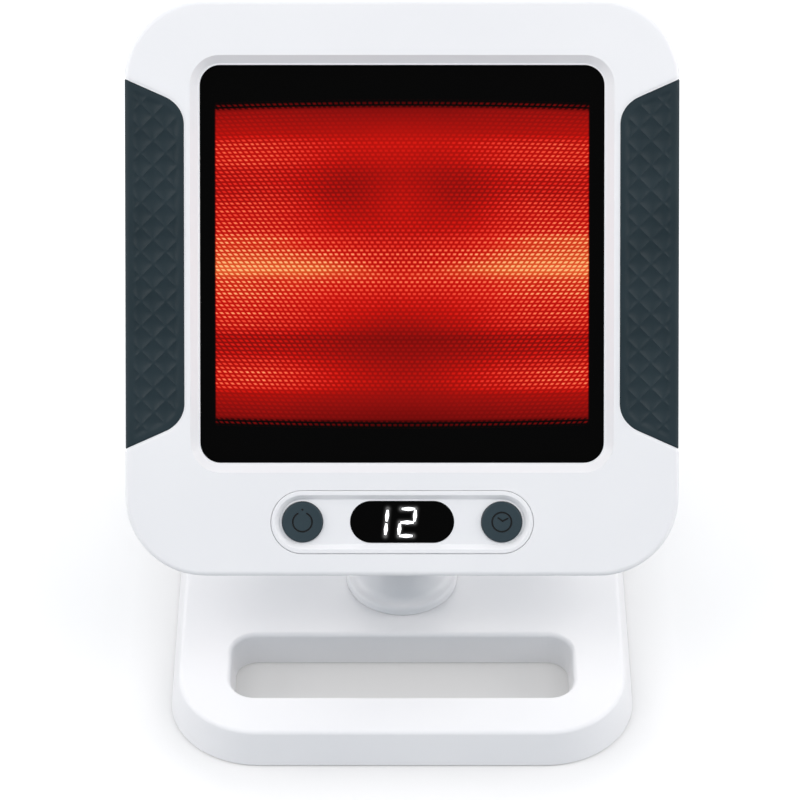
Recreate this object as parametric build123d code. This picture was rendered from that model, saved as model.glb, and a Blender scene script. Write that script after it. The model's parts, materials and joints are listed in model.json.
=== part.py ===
from build123d import *
import os
from math import cos, radians, sin, sqrt, tan

# Tabletop infrared heat lamp. A square head with a ceramic glass window leans back on a tilt hinge at
# the top of a round neck, and the neck turns on a flat weighted base that has a hand slot.
#
# Units are millimetres and degrees. Base and neck are drawn upright round the swivel axis, floor at 0.
# The head is drawn lying on its back: X across, Y up the face, Z out of the face, which is at Z = 0.
# A depth is a distance behind the face. place_head() then leans the head back onto its hinge.

# ---- Head: outside form -------------------------------------------------------------------------
head_width = 250.0
head_height = 259.0
head_corner = 36.0
head_lean = 38.0  # how far the face leans back from upright
face_edge = 2.2  # rounding round the front face
rim_edge = 9.0  # rounding round the back of the rim
rim_depth = 40.0
part_depth = 22.0  # where front frame and rear shell meet
bulge_side_step = 22.0  # from the rim's edges in to the bulge
bulge_top_step = 18.5
bulge_bottom_step = 62.5
bulge_corner = 38.0
bulge_depth = 72.0
bulge_taper = 14.0
bulge_edge = 12.0
bulge_root = 12.0  # the bulge starts this far inside the rim
bulge_blend = 5.0
wall = 2.6
seam = 0.3
tongue = 1.2
tongue_reach = 3.0
post_inset = 17.5  # case screws in from the head's edges

# ---- Fits and fasteners -------------------------------------------------------------------------
slack = 0.15  # parts that drop into each other
air = 0.3  # parts that only stand close
running = 0.05  # pins and shafts that turn
screw_shank = 1.5
screw_head = 2.9
screw_head_height = 2.0
screw_slack = 0.05
sink_slack = 0.3  # round a sunk screw head
small_screw_shank = 1.1
small_screw_head = 2.3
small_screw_head_height = 1.2
head_round = 0.8  # rounding of a pan head
drive_length = 3.2  # cross cut into a pan head
drive_width = 0.7
drive_depth = 0.95
post_radius = 4.5
case_screw_seat = 5.5  # screw heads sit this far behind the seam
case_screw_grip = 9.5  # depth that the case screws reach up to
case_hole_end = 8.0
small_fillet = 0.4
plate_corner = 4.0
beyond = 400.0  # for cutting blocks, larger than the head

# ---- Window, glass and what holds it ------------------------------------------------------------
window_side_margin = 33.8  # from the head's edges in to the window
window_top_margin = 28.7
window_bottom_margin = 50.9
window_corner = 9.2
bevel = 3.6
bevel_angle = 45.0
lip_width = 0.6  # flat lip between the bevel and the glass
lip_depth = 4.8
glass_lap = 6.0  # how far the glass reaches behind the frame
glass_thickness = 4.0
glass_chamfer = 0.4
gasket_thickness = 0.8
gasket_setback = 1.0
surround_wall = 2.0
retainer_thickness = 1.0
retainer_lug = 11.2
retainer_corner = 34.0
retainer_rise = 12.0
retainer_boss = 3.4
retainer_hole_end = 3.2  # depth where the screw holes stop
retainer_screw_gap = 0.8  # left between a screw's tip and the end of its hole
mouth_gap = 1.0  # round the reflector
retainer_boss_in = 6.4  # boss centre outside the glass surround
retainer_boss_side_in = 19.7  # in from the window's corners
retainer_boss_top_in = 31.2

# ---- Grips --------------------------------------------------------------------------------------
grip_reach = 26.6  # from the side of the head across the face
grip_end_margin = 6.3  # the grip ends this far short of the window's height
grip_slope = 23.9
grip_corner = 13.4
grip_depth = 33.0
grip_sink = 0.25
grip_pocket = 2.4
pocket_wall = 2.2
ledge_width = 1.2
ledge_depth = 0.5

# ---- Control panel ------------------------------------------------------------------------------
panel_from_edge = 24.3  # centre of the panel above the head's lower edge
panel_width = 118.8
panel_height = 28.8
panel_ring = 4.25
panel_slope = 2.1  # width of the ring's sloping inner side
ring_round = 0.6
ring_inner_round = 0.5
panel_floor_depth = 2.2
panel_floor = 2.0
panel_flange = 1.5
panel_flange_lap = 2.8
panel_ear = 10.6
stake_radius = 1.5
stake_inset = 5.0
stake_pitch = 12.0
stake_proud = 1.2
button_zone = 36.0  # from the panel's end to the display
display_margin = 0.75
display_proud = 0.25
display_flange = 1.0
display_flange_lap = 0.8
led_width = 25.0
led_height = 18.6
led_offset = -3.9
led_gap = 0.3
button_margin = 0.95
button_inset = 14.4  # button's centre from the panel's end
button_proud = 1.4
button_edge = 0.7
button_slack = 0.2
button_flange = 1.2
button_flange_lap = 1.4
button_travel = 0.8
stem_radius = 2.5
stem_length = 2.6
icon_radius = 4.35
icon_line = 0.42
icon_depth = 0.4
icon_gap = 24.0
pilot_dot_up = 5.6
pilot_dot = 0.5
clock_hub = (0.35, 0.4)
clock_hands = ((-1.6, 1.85), (2.65, 1.6))
board_depth = 14.0
board_thickness = 1.6
board_margin = 1.4
board_post_inset = 15.3  # board posts from the button's centre towards the middle
board_post_up = 7.2
board_post = 2.6
board_screw_length = 8.4
switch_size = 6.0
switch_body = 3.5
switch_plunger = 1.7
switch_gap = 0.2  # left when the button is pressed home

# ---- Reflector, heater and heat shield ----------------------------------------------------------
reflector_side_margin = 6.9  # inside the window
reflector_end_margin = 14.7
reflector_dip = 32.6
sheet = 0.8
flange_margin = 1.7
shield_gap = 5.4
shield_short = 0.6
tube_radius = 5.0
tube_wall = 1.1
tube_depth = 28.0
tube_hole = 6.5
coil_radius = 1.1
holder_gap = 1.4
holder_thickness = 10.5
holder_width = 18.0
holder_back = 9.0  # the holder's body behind the tube's axis
plug_seat = 1.5
reflector_screw_inset = 14.3
cutout_radius = 8.0
cutout_height = 5.0
cutout_gap = 10.0  # between fan and cut-out

# ---- Fan ----------------------------------------------------------------------------------------
fan_size = 60.0
fan_thickness = 15.0
fan_corner = 4.0
fan_wall = 1.7
fan_post = 3.6
fan_screw_inset = 5.0
fan_standoff = 1.9
fan_hub = 13.0
fan_hub_wall = 2.0
fan_tip_gap = 1.0
fan_blades = 7
fan_blade_pitch = 38.0
fan_blade_thickness = 1.3
fan_shaft = 1.5
fan_bearing = 4.0
fan_bearing_length = 10.0
fan_end_wall = 0.5
fan_side_gap = 0.8  # rotor to the housing's faces, and the shaft's end to its seat
fan_hub_round = 1.5
fan_blade_chord = 15.0
fan_strut = 4.0
fan_back_plate = 1.3

# ---- Openings in the rear shell -----------------------------------------------------------------
grille_margin = 0.3
grille_slot = 3.0
grille_pitch = 6.0
grille_rib = 3.0
vent_count = 13
vent_width = 4.0
vent_pitch = 12.0
vent_margin = 13.0  # vents and inlets stop this far inside the bulge's outline
vent_length = 28.0
inlet_count = 5
inlet_gap = 9.0
inlet_length = 20.0

# ---- Tilt hinge ---------------------------------------------------------------------------------
pivot_from_edge = 37.5  # hinge axis above the head's lower edge
pivot_depth = 70.0
pivot_height = 78.3
knuckle_width = 30.0
knuckle_radius = 16.0
knuckle_round = 1.2
ear_radius = 15.0
ear_thickness = 9.2
ear_gap = 0.8
ear_round = 1.6
ear_root_low = 14.0  # ear root below and above the axis
ear_root_high = 34.0
axle_radius = 4.0
axle_head = 7.0
axle_head_height = 3.6
axle_head_gap = 0.6
cap_thickness = 1.4
cap_fit = 0.1
cap_round = 0.5
washer_thickness = 0.6
washer_radius = 11.5
nut_flats = 13.0
bracket_side_lap = 6.0
bracket_below = 20.0  # bracket and its screws below and above the hinge axis
bracket_above = 24.0
bracket_thickness = 2.0
bracket_boss = 6.0
bracket_screw_below = 13.0
bracket_screw_above = 16.0

# ---- Cord gland ---------------------------------------------------------------------------------
gland_from_side = 55.0
gland_from_edge = 22.5
gland_bore = 3.6
gland_body = 6.8
gland_flange = 9.4
gland_flange_thickness = 2.4
gland_nose = 6.2
gland_nose_length = 9.0
gland_nose_round = 1.4
gland_inside = 6.0
gland_nut_height = 4.5

# ---- Mains board --------------------------------------------------------------------------------
mains_side_gap = 23.0  # from the head's side
mains_end_gap = 9.5  # from the head's lower edge
mains_bracket_gap = 5.0
mains_height = 30.0
mains_standoff = 2.3
mains_post = 3.0
mains_post_inset = 4.0

# ---- Neck ---------------------------------------------------------------------------------------
neck_radius = 21.5
neck_wall = 2.6
shoulder_drop = 18.0  # the round column ends this far below the tilt axis
neck_edge = 3.0
skirt_reach = 5.1  # the neck's foot stands out this far
skirt_height = 4.6
skirt_edge = 1.6
skirt_blend = 3.2
skirt_gap = 0.3
stem_outer = 11.0
stem_bore = 6.0
knuckle_skin = 2.0
core_knuckle = 12.5
flange_reach = 5.5  # beyond the neck
flange_thickness = 3.0
flange_lug_reach = 6.0
flange_lug_angle = 6.0
swivel_washer_thickness = 0.8
swivel_gap = 0.2
neck_screw_inset = 5.9
neck_screw_boss = 2.9
neck_screw_depth = 16.0
neck_screw_angles = (30, 150, 270)

# ---- Base ---------------------------------------------------------------------------------------
base_width = 217.0
base_front = 108.4  # front and rear edges from the swivel axis
base_rear = 95.0
base_corner = 42.0
base_height = 18.0
base_clear = 0.8  # the shell stops this far above the floor
base_draft = 14.0
base_edge = 2.2
base_wall = 2.8
slot_side_bar = 28.2  # from the base's sides to the slot
slot_front_bar = 27.6
slot_far = 39.5
slot_corner = 11.5
slot_draft = 5.0
slot_edge = 2.2
slot_wall = 2.4
swivel_slack = 0.2
plate_low = 1.0
plate_thickness = 2.2
base_boss = 3.6
base_screw_front = 46.0
base_screw_rear = 48.0
base_screw_inset = 14.0
base_screw_length = 9.0
base_sink = 0.7  # how deep the screw heads sit in the base plate
retainer_ring_inner = 14.0
retainer_ring_lap = 3.6
retainer_ring_thickness = 2.8
ring_screw_gap = 4.0
ring_screw_boss = 3.2
ring_screw_end_gap = 0.6
ring_screw_angles = (32, 148, 212, 328)
ballast_thickness = 6.0
ballast_side_gap = 24.5
ballast_slot_gap = 13.5
ballast_rear_gap = 13.0
ballast_ring_gap = 2.4
ballast_boss_gap = 0.8
ballast_screw_grip = 4.0
ballast_corner = 26.0
ballast_screw_inset = 28.0
ballast_screw_front = 20.0
foot_radius = 7.0
foot_thickness = 1.6
foot_pocket = 0.6
foot_side_gap = 24.5
foot_front_gap = 22.4
foot_rear_gap = 19.0
foot_rear_step = 8.0

# ---- Worked out from the values above -----------------------------------------------------------
bulge_width = head_width - 2 * bulge_side_step
bulge_height = head_height - bulge_top_step - bulge_bottom_step
bulge_up = (bulge_bottom_step - bulge_top_step) / 2
window_width = head_width - 2 * window_side_margin
window_height = head_height - window_top_margin - window_bottom_margin
window_up = (window_bottom_margin - window_top_margin) / 2
grip_half_height = window_height / 2 - grip_end_margin
glass_front = lip_depth + gasket_thickness
glass_back = glass_front + glass_thickness
retainer_back = glass_back + retainer_thickness
panel_down = head_height / 2 - panel_from_edge
panel_back = panel_floor_depth + panel_floor
floor_width = panel_width - 2 * panel_ring
floor_height = panel_height - 2 * panel_ring
display_width = panel_width - 2 * button_zone
display_height = floor_height - 2 * display_margin
button_radius = floor_height / 2 - button_margin
button_out = panel_width / 2 - button_inset
stake_out = panel_width / 2 + panel_ear - stake_inset
board_width = panel_width - 2 * board_margin
board_height = panel_height - 2 * board_margin
board_screw_end = board_depth + board_thickness - board_screw_length
reflector_length = window_width - 2 * reflector_side_margin
reflector_half = window_height / 2 - reflector_end_margin
flange_half = window_height / 2 - flange_margin
shield_half = reflector_half + shield_gap
shield_dip = reflector_dip + shield_gap
shield_length = reflector_length - shield_short
bulge_inside = bulge_depth - wall
rim_inside = rim_depth - wall
fan_up = window_up
fan_bore = fan_size / 2 - fan_wall
fan_back = bulge_inside - fan_standoff
fan_front = fan_back - fan_thickness
grille_radius = fan_bore - grille_margin
ear_inner = knuckle_width / 2 + ear_gap
ear_outer = ear_inner + ear_thickness
pivot_down = head_height / 2 - pivot_from_edge
axle_seat = ear_outer - axle_head_height - cap_thickness
bracket_width = 2 * (ear_outer + bracket_side_lap)
gland_x = head_width / 2 - gland_from_side
gland_y = gland_from_edge - head_height / 2
mains_left = mains_side_gap - head_width / 2
mains_right = -bracket_width / 2 - mains_bracket_gap
mains_low = mains_end_gap - head_height / 2
mains_high = mains_low + mains_height
mains_board_back = rim_inside - mains_standoff
mains_board_front = mains_board_back - board_thickness
neck_shoulder = pivot_height - shoulder_drop
skirt_radius = neck_radius + skirt_reach
flange_radius = neck_radius + flange_reach
neck_screw_circle = neck_radius - neck_screw_inset
ring_screw_circle = flange_radius + ring_screw_gap
retainer_ring_outer = ring_screw_circle + retainer_ring_lap
base_top_inside = base_height - base_wall
flange_top = base_top_inside - swivel_washer_thickness - swivel_gap
flange_bottom = flange_top - flange_thickness
ring_top = flange_bottom - swivel_gap
ring_bottom = ring_top - retainer_ring_thickness
plate_top = plate_low + plate_thickness
screw_seat = plate_low + base_sink
post_x = head_width / 2 - post_inset
post_y = head_height / 2 - post_inset
head_posts = [(x * post_x, y * post_y) for x in (-1, 1) for y in (-1, 1)]
button_centres = {"power": -button_out, "timer": button_out}
tube_half = reflector_length / 2 + holder_gap + holder_thickness - plug_seat
base_middle = (base_rear - base_front) / 2
base_length = base_front + base_rear
slot_width = base_width - 2 * slot_side_bar
slot_near = base_front - slot_front_bar
slot_middle = -(slot_near + slot_far) / 2
slot_length = slot_near - slot_far
ballast_half_width = base_width / 2 - ballast_side_gap
ballast_front = ballast_slot_gap - slot_far
ballast_rear = base_rear - ballast_rear_gap
ballast_bore = retainer_ring_outer + ballast_ring_gap


# ---- Small tools --------------------------------------------------------------------------------
def prism(sketch, front, back):
    """The sketch pushed through the head from one depth to a deeper one."""
    return extrude(Pos(0, 0, -back) * sketch, amount=back - front)


def rod(radius, front, back, x=0.0, y=0.0):
    """A round bar along the head's depth."""
    return prism(Pos(x, y) * Circle(radius), front, back)


def upright(radius, low, high, x=0.0, y=0.0):
    """A round bar along the swivel axis's direction."""
    return extrude(Pos(x, y, low) * Circle(radius), amount=high - low)


def crossbar(radius, left, right, y=0.0, z=0.0):
    """A round bar from side to side."""
    return extrude(Pos(left, y, z) * (Plane.YZ * Circle(radius)), amount=right - left)


def slab(front, back, width=beyond, height=beyond, x=0.0, y=0.0):
    """A plain block between two depths of the head."""
    return prism(Pos(x, y) * Rectangle(width, height), front, back)


def pill(width, height):
    """A bar with half-round ends."""
    return SlotOverall(width, height)


def both_sides(shape):
    """The shape and its mirror image across the middle."""
    return shape + mirror(shape, Plane.YZ)


def pan_screw(length, x=0.0, y=0.0, z=0.0, down=True):
    """A pan head screw whose head rests at z, its shank along Z below the head, or above it."""
    way = -1 if down else 1
    head = Pos(0, 0, way * -screw_head_height / 2) * Cylinder(screw_head, screw_head_height)
    head = fillet(head.faces().sort_by(Axis.Z)[-1 if down else 0].edges(), head_round)
    shank = Pos(0, 0, way * length / 2) * Cylinder(screw_shank, length)
    cross = Box(drive_length, drive_width, drive_depth) + Box(drive_width, drive_length, drive_depth)
    drive = Pos(0, 0, way * (drive_depth / 2 - screw_head_height)) * cross
    return Pos(x, y, z) * (head + shank - drive)


def group(shapes):
    """Separate solids of one kind, kept apart in one node."""
    return Compound([solid for shape in shapes for solid in shape.solids()])


# ---- Forms of the head --------------------------------------------------------------------------
def head_form(inset=0.0):
    """The outside form of the head, or the same form shrunk evenly by inset."""
    outline = RectangleRounded(head_width - 2 * inset, head_height - 2 * inset, head_corner - inset)
    rim = prism(outline, inset, rim_depth - inset)
    rim = fillet(rim.faces().sort_by(Axis.Z)[-1].edges(), max(face_edge - inset, 0.6))
    rim = fillet(rim.faces().sort_by(Axis.Z)[0].edges(), rim_edge - inset)
    start = Plane(origin=(0, bulge_up, bulge_root - rim_depth), x_dir=(1, 0, 0), z_dir=(0, 0, -1))
    outline = RectangleRounded(bulge_width - 2 * inset, bulge_height - 2 * inset, bulge_corner - inset)
    bulge = extrude(start * outline, amount=bulge_depth - inset - rim_depth + bulge_root, taper=bulge_taper)
    bulge = fillet(bulge.faces().sort_by(Axis.Z)[0].edges(), bulge_edge - inset)
    form = rim + bulge
    root = form.edges().filter_by_position(Axis.Z, inset - rim_depth - 0.01, inset - rim_depth + 0.01)
    root = root.filter_by(lambda edge: abs(edge.center().X) < bulge_width / 2)
    root = root.filter_by(lambda edge: abs(edge.center().Y - bulge_up) < bulge_height / 2)
    return fillet(root, bulge_blend + inset)


def grip_outline(grow=0.0):
    """The left grip seen from the front: slanted ends and two rounded inner corners."""
    outer = -head_width / 2 - 5
    inner = -head_width / 2 + grip_reach + grow
    slope = tan(radians(grip_slope))
    lift = grow / cos(radians(grip_slope))
    high = grip_half_height + 5 * slope + lift
    low = grip_half_height - (grip_reach + grow) * slope + lift
    face = make_face(Polyline((outer, -high), (inner, -low), (inner, low), (outer, high), close=True))
    corners = face.vertices().sort_by(Axis.X)[-2:]
    return Pos(0, window_up) * fillet(corners, grip_corner + grow)


def grip_zone(grow=0.0):
    """The room that both grips take up, front to back."""
    return both_sides(prism(grip_outline(grow), -1, grip_depth + grow))


def window_sketch(grow=0.0):
    """The window's outline, larger by grow all round."""
    size = RectangleRounded(window_width + 2 * grow, window_height + 2 * grow, window_corner + grow)
    return Pos(0, window_up) * size


def window_bevel():
    """The sloping reveal between face and window."""
    face = Plane(origin=(0, 0, 0), x_dir=(1, 0, 0), z_dir=(0, 0, -1))
    outline = mirror(window_sketch(bevel + lip_width), Plane.XZ)
    return extrude(face * outline, amount=bevel, taper=bevel_angle)


def retainer_outline():
    """The outline of the sheet that holds the glass."""
    width = window_width + 2 * glass_lap + 2 * surround_wall + 2 * retainer_lug
    height = window_height + 2 * glass_lap + 2 * surround_wall + retainer_rise
    return Pos(0, window_up + retainer_rise / 2) * RectangleRounded(width, height, retainer_corner)


def retainer_screw_places():
    """Where the glass retainer is screwed to the front frame."""
    side = window_width / 2 + glass_lap + surround_wall + retainer_boss_in
    top = window_up + window_height / 2 + glass_lap + surround_wall + retainer_boss_in + 0.4
    up = window_height / 2 - retainer_boss_side_in
    out = window_width / 2 - retainer_boss_top_in
    sides = [(x * side, window_up + y * up) for x in (-1, 1) for y in (-1, 1)]
    return sides + [(x * out, top) for x in (-1, 1)]


# ---- Head: front --------------------------------------------------------------------------------
def front_frame(form, core, pocket_floor):
    """White front moulding with the window, the grip pockets and the hole for the control panel."""
    frame = (form - core) & slab(-5, part_depth)
    frame += pocket_floor & slab(-5, part_depth)
    surround = prism(window_sketch(glass_lap + slack + surround_wall), wall / 2, glass_back)
    frame += surround - prism(window_sketch(glass_lap + slack), lip_depth, glass_back)
    frame -= prism(window_sketch(), -1, lip_depth + 1)
    frame -= window_bevel()
    hole = Pos(0, -panel_down) * pill(panel_width, panel_height)
    frame -= prism(hole, -1, wall + 1)
    for x, y in head_posts:
        frame += rod(post_radius, wall / 2, part_depth, x, y)
        frame -= rod(screw_shank + screw_slack, case_hole_end, part_depth + 1, x, y)
    for x, y in retainer_screw_places():
        frame += rod(retainer_boss, wall / 2, glass_back, x, y)
        frame -= rod(screw_shank + screw_slack, retainer_hole_end, glass_back + 1, x, y)
    for x, y in stake_places():
        frame += rod(stake_radius, wall / 2, wall + panel_flange + stake_proud, x, y)
    return frame


def stake_places():
    """Pins of the frame that the control panel is staked to."""
    return [(x * stake_out, y * stake_pitch / 2 - panel_down) for x in (-1, 1) for y in (-1, 1)]


def glass_gasket():
    """Silicone ring between the frame's lip and the glass."""
    ring = prism(window_sketch(glass_lap), lip_depth, glass_front)
    return ring - prism(window_sketch(gasket_setback), lip_depth - 1, glass_front + 1)


def glass_panel():
    """Ceramic glass window."""
    panel = prism(window_sketch(glass_lap), glass_front, glass_back)
    return chamfer(panel.faces().sort_by(Axis.Z)[-1].edges(), glass_chamfer)


def glass_retainer():
    """Steel sheet that holds the glass against its gasket and carries the reflector."""
    sheet_plate = prism(retainer_outline(), glass_back, retainer_back)
    mouth_width = reflector_length + 2 * mouth_gap
    mouth = RectangleRounded(mouth_width, 2 * (reflector_half + mouth_gap), plate_corner)
    sheet_plate -= prism(Pos(0, window_up) * mouth, glass_back - 1, retainer_back + 1)
    for x, y in retainer_screw_places():
        sheet_plate -= rod(screw_shank + screw_slack + slack, glass_back - 1, retainer_back + 1, x, y)
    for x, y in reflector_screw_places():
        sheet_plate -= rod(screw_shank + screw_slack, glass_back - 1, retainer_back + 1, x, y)
    return sheet_plate


def retainer_screws():
    """Screws that hold the glass retainer."""
    length = retainer_back - retainer_hole_end - retainer_screw_gap
    return group([pan_screw(length, x, y, -retainer_back, down=False) for x, y in retainer_screw_places()])


def grips(form, sunk, under):
    """Both soft grips, each wrapped from the face round the side of the head."""
    zone = grip_zone(-slack)
    pair = (sunk - under) & zone & slab(-5, grip_depth - slack)
    halves = pair.solids().sort_by(Axis.X)
    return halves[0], halves[-1]


# ---- Head: control panel ------------------------------------------------------------------------
def control_panel():
    """Pill-shaped insert: a rolled ring round a sunk floor, with holes for display and buttons."""
    centre = Pos(0, -panel_down)
    fit = 2 * slack
    panel = prism(centre * pill(panel_width - fit, panel_height - fit), 0, panel_back)
    panel = fillet(panel.faces().sort_by(Axis.Z)[-1].edges(), ring_round)
    slope = 2 * panel_slope
    top = Pos(0, 0, 0.02) * centre * pill(floor_width + slope, floor_height + slope)
    low = Pos(0, 0, -panel_floor_depth) * centre * pill(floor_width, floor_height)
    sunk = loft([top.faces()[0], low.faces()[0]], ruled=True)
    panel -= sunk
    rim = panel.edges().filter_by_position(Axis.Z, -0.01, 0.01)
    panel = fillet(rim.sort_by(SortBy.LENGTH)[:4], ring_inner_round)
    flange = pill(panel_width + 2 * panel_ear, panel_height + 2 * panel_flange_lap)
    panel += prism(centre * flange, wall, wall + panel_flange)
    for x in button_centres.values():
        panel -= rod(button_radius + button_slack, -1, panel_back + 1, x, -panel_down)
    panel -= prism(centre * pill(display_width + fit, display_height + fit), -1, panel_back + 1)
    for x, y in board_post_places():
        panel += rod(board_post, panel_back - 0.5, board_depth, x, y)
        panel -= rod(small_screw_shank + screw_slack, board_screw_end - 1, board_depth + 1, x, y)
    for x, y in stake_places():
        panel -= rod(stake_radius + slack, wall - 0.5, panel_back + 1, x, y)
    return panel


def board_post_places():
    """Where the control board is screwed to the panel."""
    out = button_out - board_post_inset
    return [(x * out, y * board_post_up - panel_down) for x in (-1, 1) for y in (-1, 1)]


def display_window():
    """Dark window over the digits, held from behind by its flange."""
    centre = Pos(0, -panel_down)
    front = panel_floor_depth - display_proud
    window = prism(centre * pill(display_width, display_height), front, panel_back)
    window = fillet(window.faces().sort_by(Axis.Z)[-1].edges(), small_fillet)
    lap = 2 * display_flange_lap
    back = panel_back + display_flange
    return window + prism(centre * pill(display_width + lap, display_height + lap), panel_back, back)


def icon_ring(depth_face, x, y, gap=0.0):
    """A groove that runs round an icon, open by gap degrees each side of its top."""
    sweep_angle = 360 - 2 * gap
    section = Pos(icon_radius, 0) * Circle(icon_line)
    ring = revolve(Plane.XZ * section, Axis.Z, revolution_arc=sweep_angle)
    return Pos(x, y, depth_face + icon_line - icon_depth) * (Rot(0, 0, 90 + gap) * ring)


def groove(start, end, depth_face):
    """A straight groove between two points of a button's face."""
    a = Vector(*start, depth_face + icon_line - icon_depth)
    b = Vector(*end, depth_face + icon_line - icon_depth)
    bar = Solid.make_cylinder(icon_line, (b - a).length, Plane(origin=a, z_dir=b - a))
    return bar + Pos(a) * Sphere(icon_line) + Pos(b) * Sphere(icon_line)


def button_blank(x):
    """A round button with a retaining flange and a stem, its face standing proud of the panel floor."""
    face = panel_floor_depth - button_proud
    flange_front = panel_back + button_slack
    body = rod(button_radius, face, flange_front + button_flange, x, -panel_down)
    body = fillet(body.faces().sort_by(Axis.Z)[-1].edges(), button_edge)
    body += rod(button_radius + button_flange_lap, flange_front, flange_front + button_flange, x, -panel_down)
    back = flange_front + button_flange
    return body + rod(stem_radius, back, back + stem_length, x, -panel_down)


def power_button():
    """On/off button with a broken ring and a pilot dot sunk into its face."""
    x = button_centres["power"]
    face = button_proud - panel_floor_depth
    button = button_blank(x) - icon_ring(face, x, -panel_down, icon_gap)
    return button - Pos(x, pilot_dot_up - panel_down, face) * Cylinder(pilot_dot, 2 * icon_depth)


def timer_button():
    """Timer button with a small clock face sunk into it."""
    x = button_centres["timer"]
    face = button_proud - panel_floor_depth
    button = button_blank(x) - icon_ring(face, x, -panel_down)
    hub = (x + clock_hub[0], clock_hub[1] - panel_down)
    for out, up in clock_hands:
        button -= groove(hub, (x + out, up - panel_down), face)
    return button


def control_board():
    """Circuit board behind the panel."""
    board = slab(board_depth, board_depth + board_thickness, board_width, board_height, 0, -panel_down)
    for x, y in board_post_places():
        board -= rod(small_screw_shank + slack, board_depth - 1, board_depth + board_thickness + 1, x, y)
    return board


def board_screws():
    """Small screws that hold the control board."""
    back = board_depth + board_thickness
    screws = []
    for x, y in board_post_places():
        shank = rod(small_screw_shank, board_screw_end, back, x, y)
        screws.append(shank + rod(small_screw_head, back, back + small_screw_head_height, x, y))
    return group(screws)


def led_display():
    """Two-digit light-emitting display block on the control board."""
    front = panel_back + display_flange + led_gap
    return slab(front, board_depth, led_width, led_height, led_offset, -panel_down)


def tact_switches():
    """One small push switch behind each button."""
    pressed = panel_back + button_slack + button_flange + stem_length + button_travel + switch_gap
    shapes = []
    for x in button_centres.values():
        body = slab(board_depth - switch_body, board_depth, switch_size, switch_size, x, -panel_down)
        shapes.append(body + rod(switch_plunger, pressed, board_depth - switch_body, x, -panel_down))
    return group(shapes)


# ---- Head: heat -----------------------------------------------------------------------------------
def trough(half, dip, length, front):
    """A solid half-round bar, as deep as dip, whose flat side is at the given depth."""
    section = Plane.YZ * Ellipse(half, dip)
    bar = extrude(Pos(-length / 2, window_up, -front) * section, amount=length)
    return bar & slab(front, front + 2 * dip)


def reflector_screw_places():
    """Where reflector and heat shield are screwed to the glass retainer."""
    up = (reflector_half + sheet + flange_half) / 2 + 2.2
    out = reflector_length / 2 - reflector_screw_inset
    return [(x * out, window_up + y * up) for x in (-1, 1) for y in (-1, 1)]


def reflector():
    """Bright aluminium trough behind the heater tube, closed at both ends."""
    front = retainer_back
    outside = trough(reflector_half + sheet, reflector_dip + sheet, reflector_length + 2 * sheet, front)
    shape = outside + slab(front, front + sheet, reflector_length, 2 * flange_half, 0, window_up)
    shape -= trough(reflector_half, reflector_dip, reflector_length, front)
    shape -= slab(front - 1, front + 0.001, reflector_length, 2 * reflector_half, 0, window_up)
    shape -= crossbar(tube_hole, -reflector_length, reflector_length, window_up, -tube_depth)
    for x, y in reflector_screw_places():
        shape -= rod(screw_shank + slack, front - 1, front + sheet + 1, x, y)
    return shape


def heat_shield():
    """Steel sheet that keeps the reflector's heat off the rear shell."""
    front = retainer_back + sheet
    shape = trough(shield_half + sheet, shield_dip + sheet, shield_length, front)
    shape += slab(front, front + sheet, shield_length, 2 * flange_half, 0, window_up)
    shape -= trough(shield_half, shield_dip, shield_length + 2, front)
    shape -= slab(front - 1, front + 0.001, shield_length, 2 * shield_half, 0, window_up)
    for x, y in reflector_screw_places():
        shape -= rod(screw_shank + slack, front - 1, front + sheet + 1, x, y)
    return shape


def reflector_screws():
    """Screws through both sheets into the retainer."""
    back = retainer_back + 2 * sheet
    length = 2 * sheet + retainer_thickness
    return group([pan_screw(length, x, y, -back, down=False) for x, y in reflector_screw_places()])


def heater_tube():
    """Quartz tube with solid ends."""
    half = tube_half
    bore = reflector_length / 2
    tube = crossbar(tube_radius, -half, half, window_up, -tube_depth)
    return tube - crossbar(tube_radius - tube_wall, -bore, bore, window_up, -tube_depth)


def heating_coil():
    """Heating coil, as the bar that it fills."""
    return crossbar(coil_radius, -reflector_length / 2, reflector_length / 2, window_up, -tube_depth)


def tube_holders():
    """Ceramic block at each end of the heater tube, standing on the retainer."""
    inner = reflector_length / 2 + holder_gap
    x = inner + holder_thickness / 2
    back = tube_depth + holder_back
    block = slab(retainer_back, back, holder_thickness, holder_width, x, window_up)
    block = fillet(block.edges().filter_by(Axis.X).group_by(Axis.Z)[0], plate_corner)
    block -= crossbar(tube_radius + running, inner - 1, tube_half + running, window_up, -tube_depth)
    return group([block, mirror(block, Plane.YZ)])


def shield_depth(y):
    """Depth of the heat shield's outside at a height off the window's middle."""
    return retainer_back + sheet + (shield_dip + sheet) * sqrt(1 - (y / (shield_half + sheet)) ** 2)


def thermal_cutout():
    """Round thermal cut-out seated on a flat pad on the heat shield."""
    seat = shield_depth(0)
    out = fan_size / 2 + cutout_gap + cutout_radius
    return rod(cutout_radius, seat, seat + cutout_height, out, window_up)


# ---- Head: fan ------------------------------------------------------------------------------------
def fan_screw_places():
    """The four corner screws of the fan."""
    half = fan_size / 2 - fan_screw_inset
    return [(x * half, fan_up + y * half) for x in (-1, 1) for y in (-1, 1)]


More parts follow.
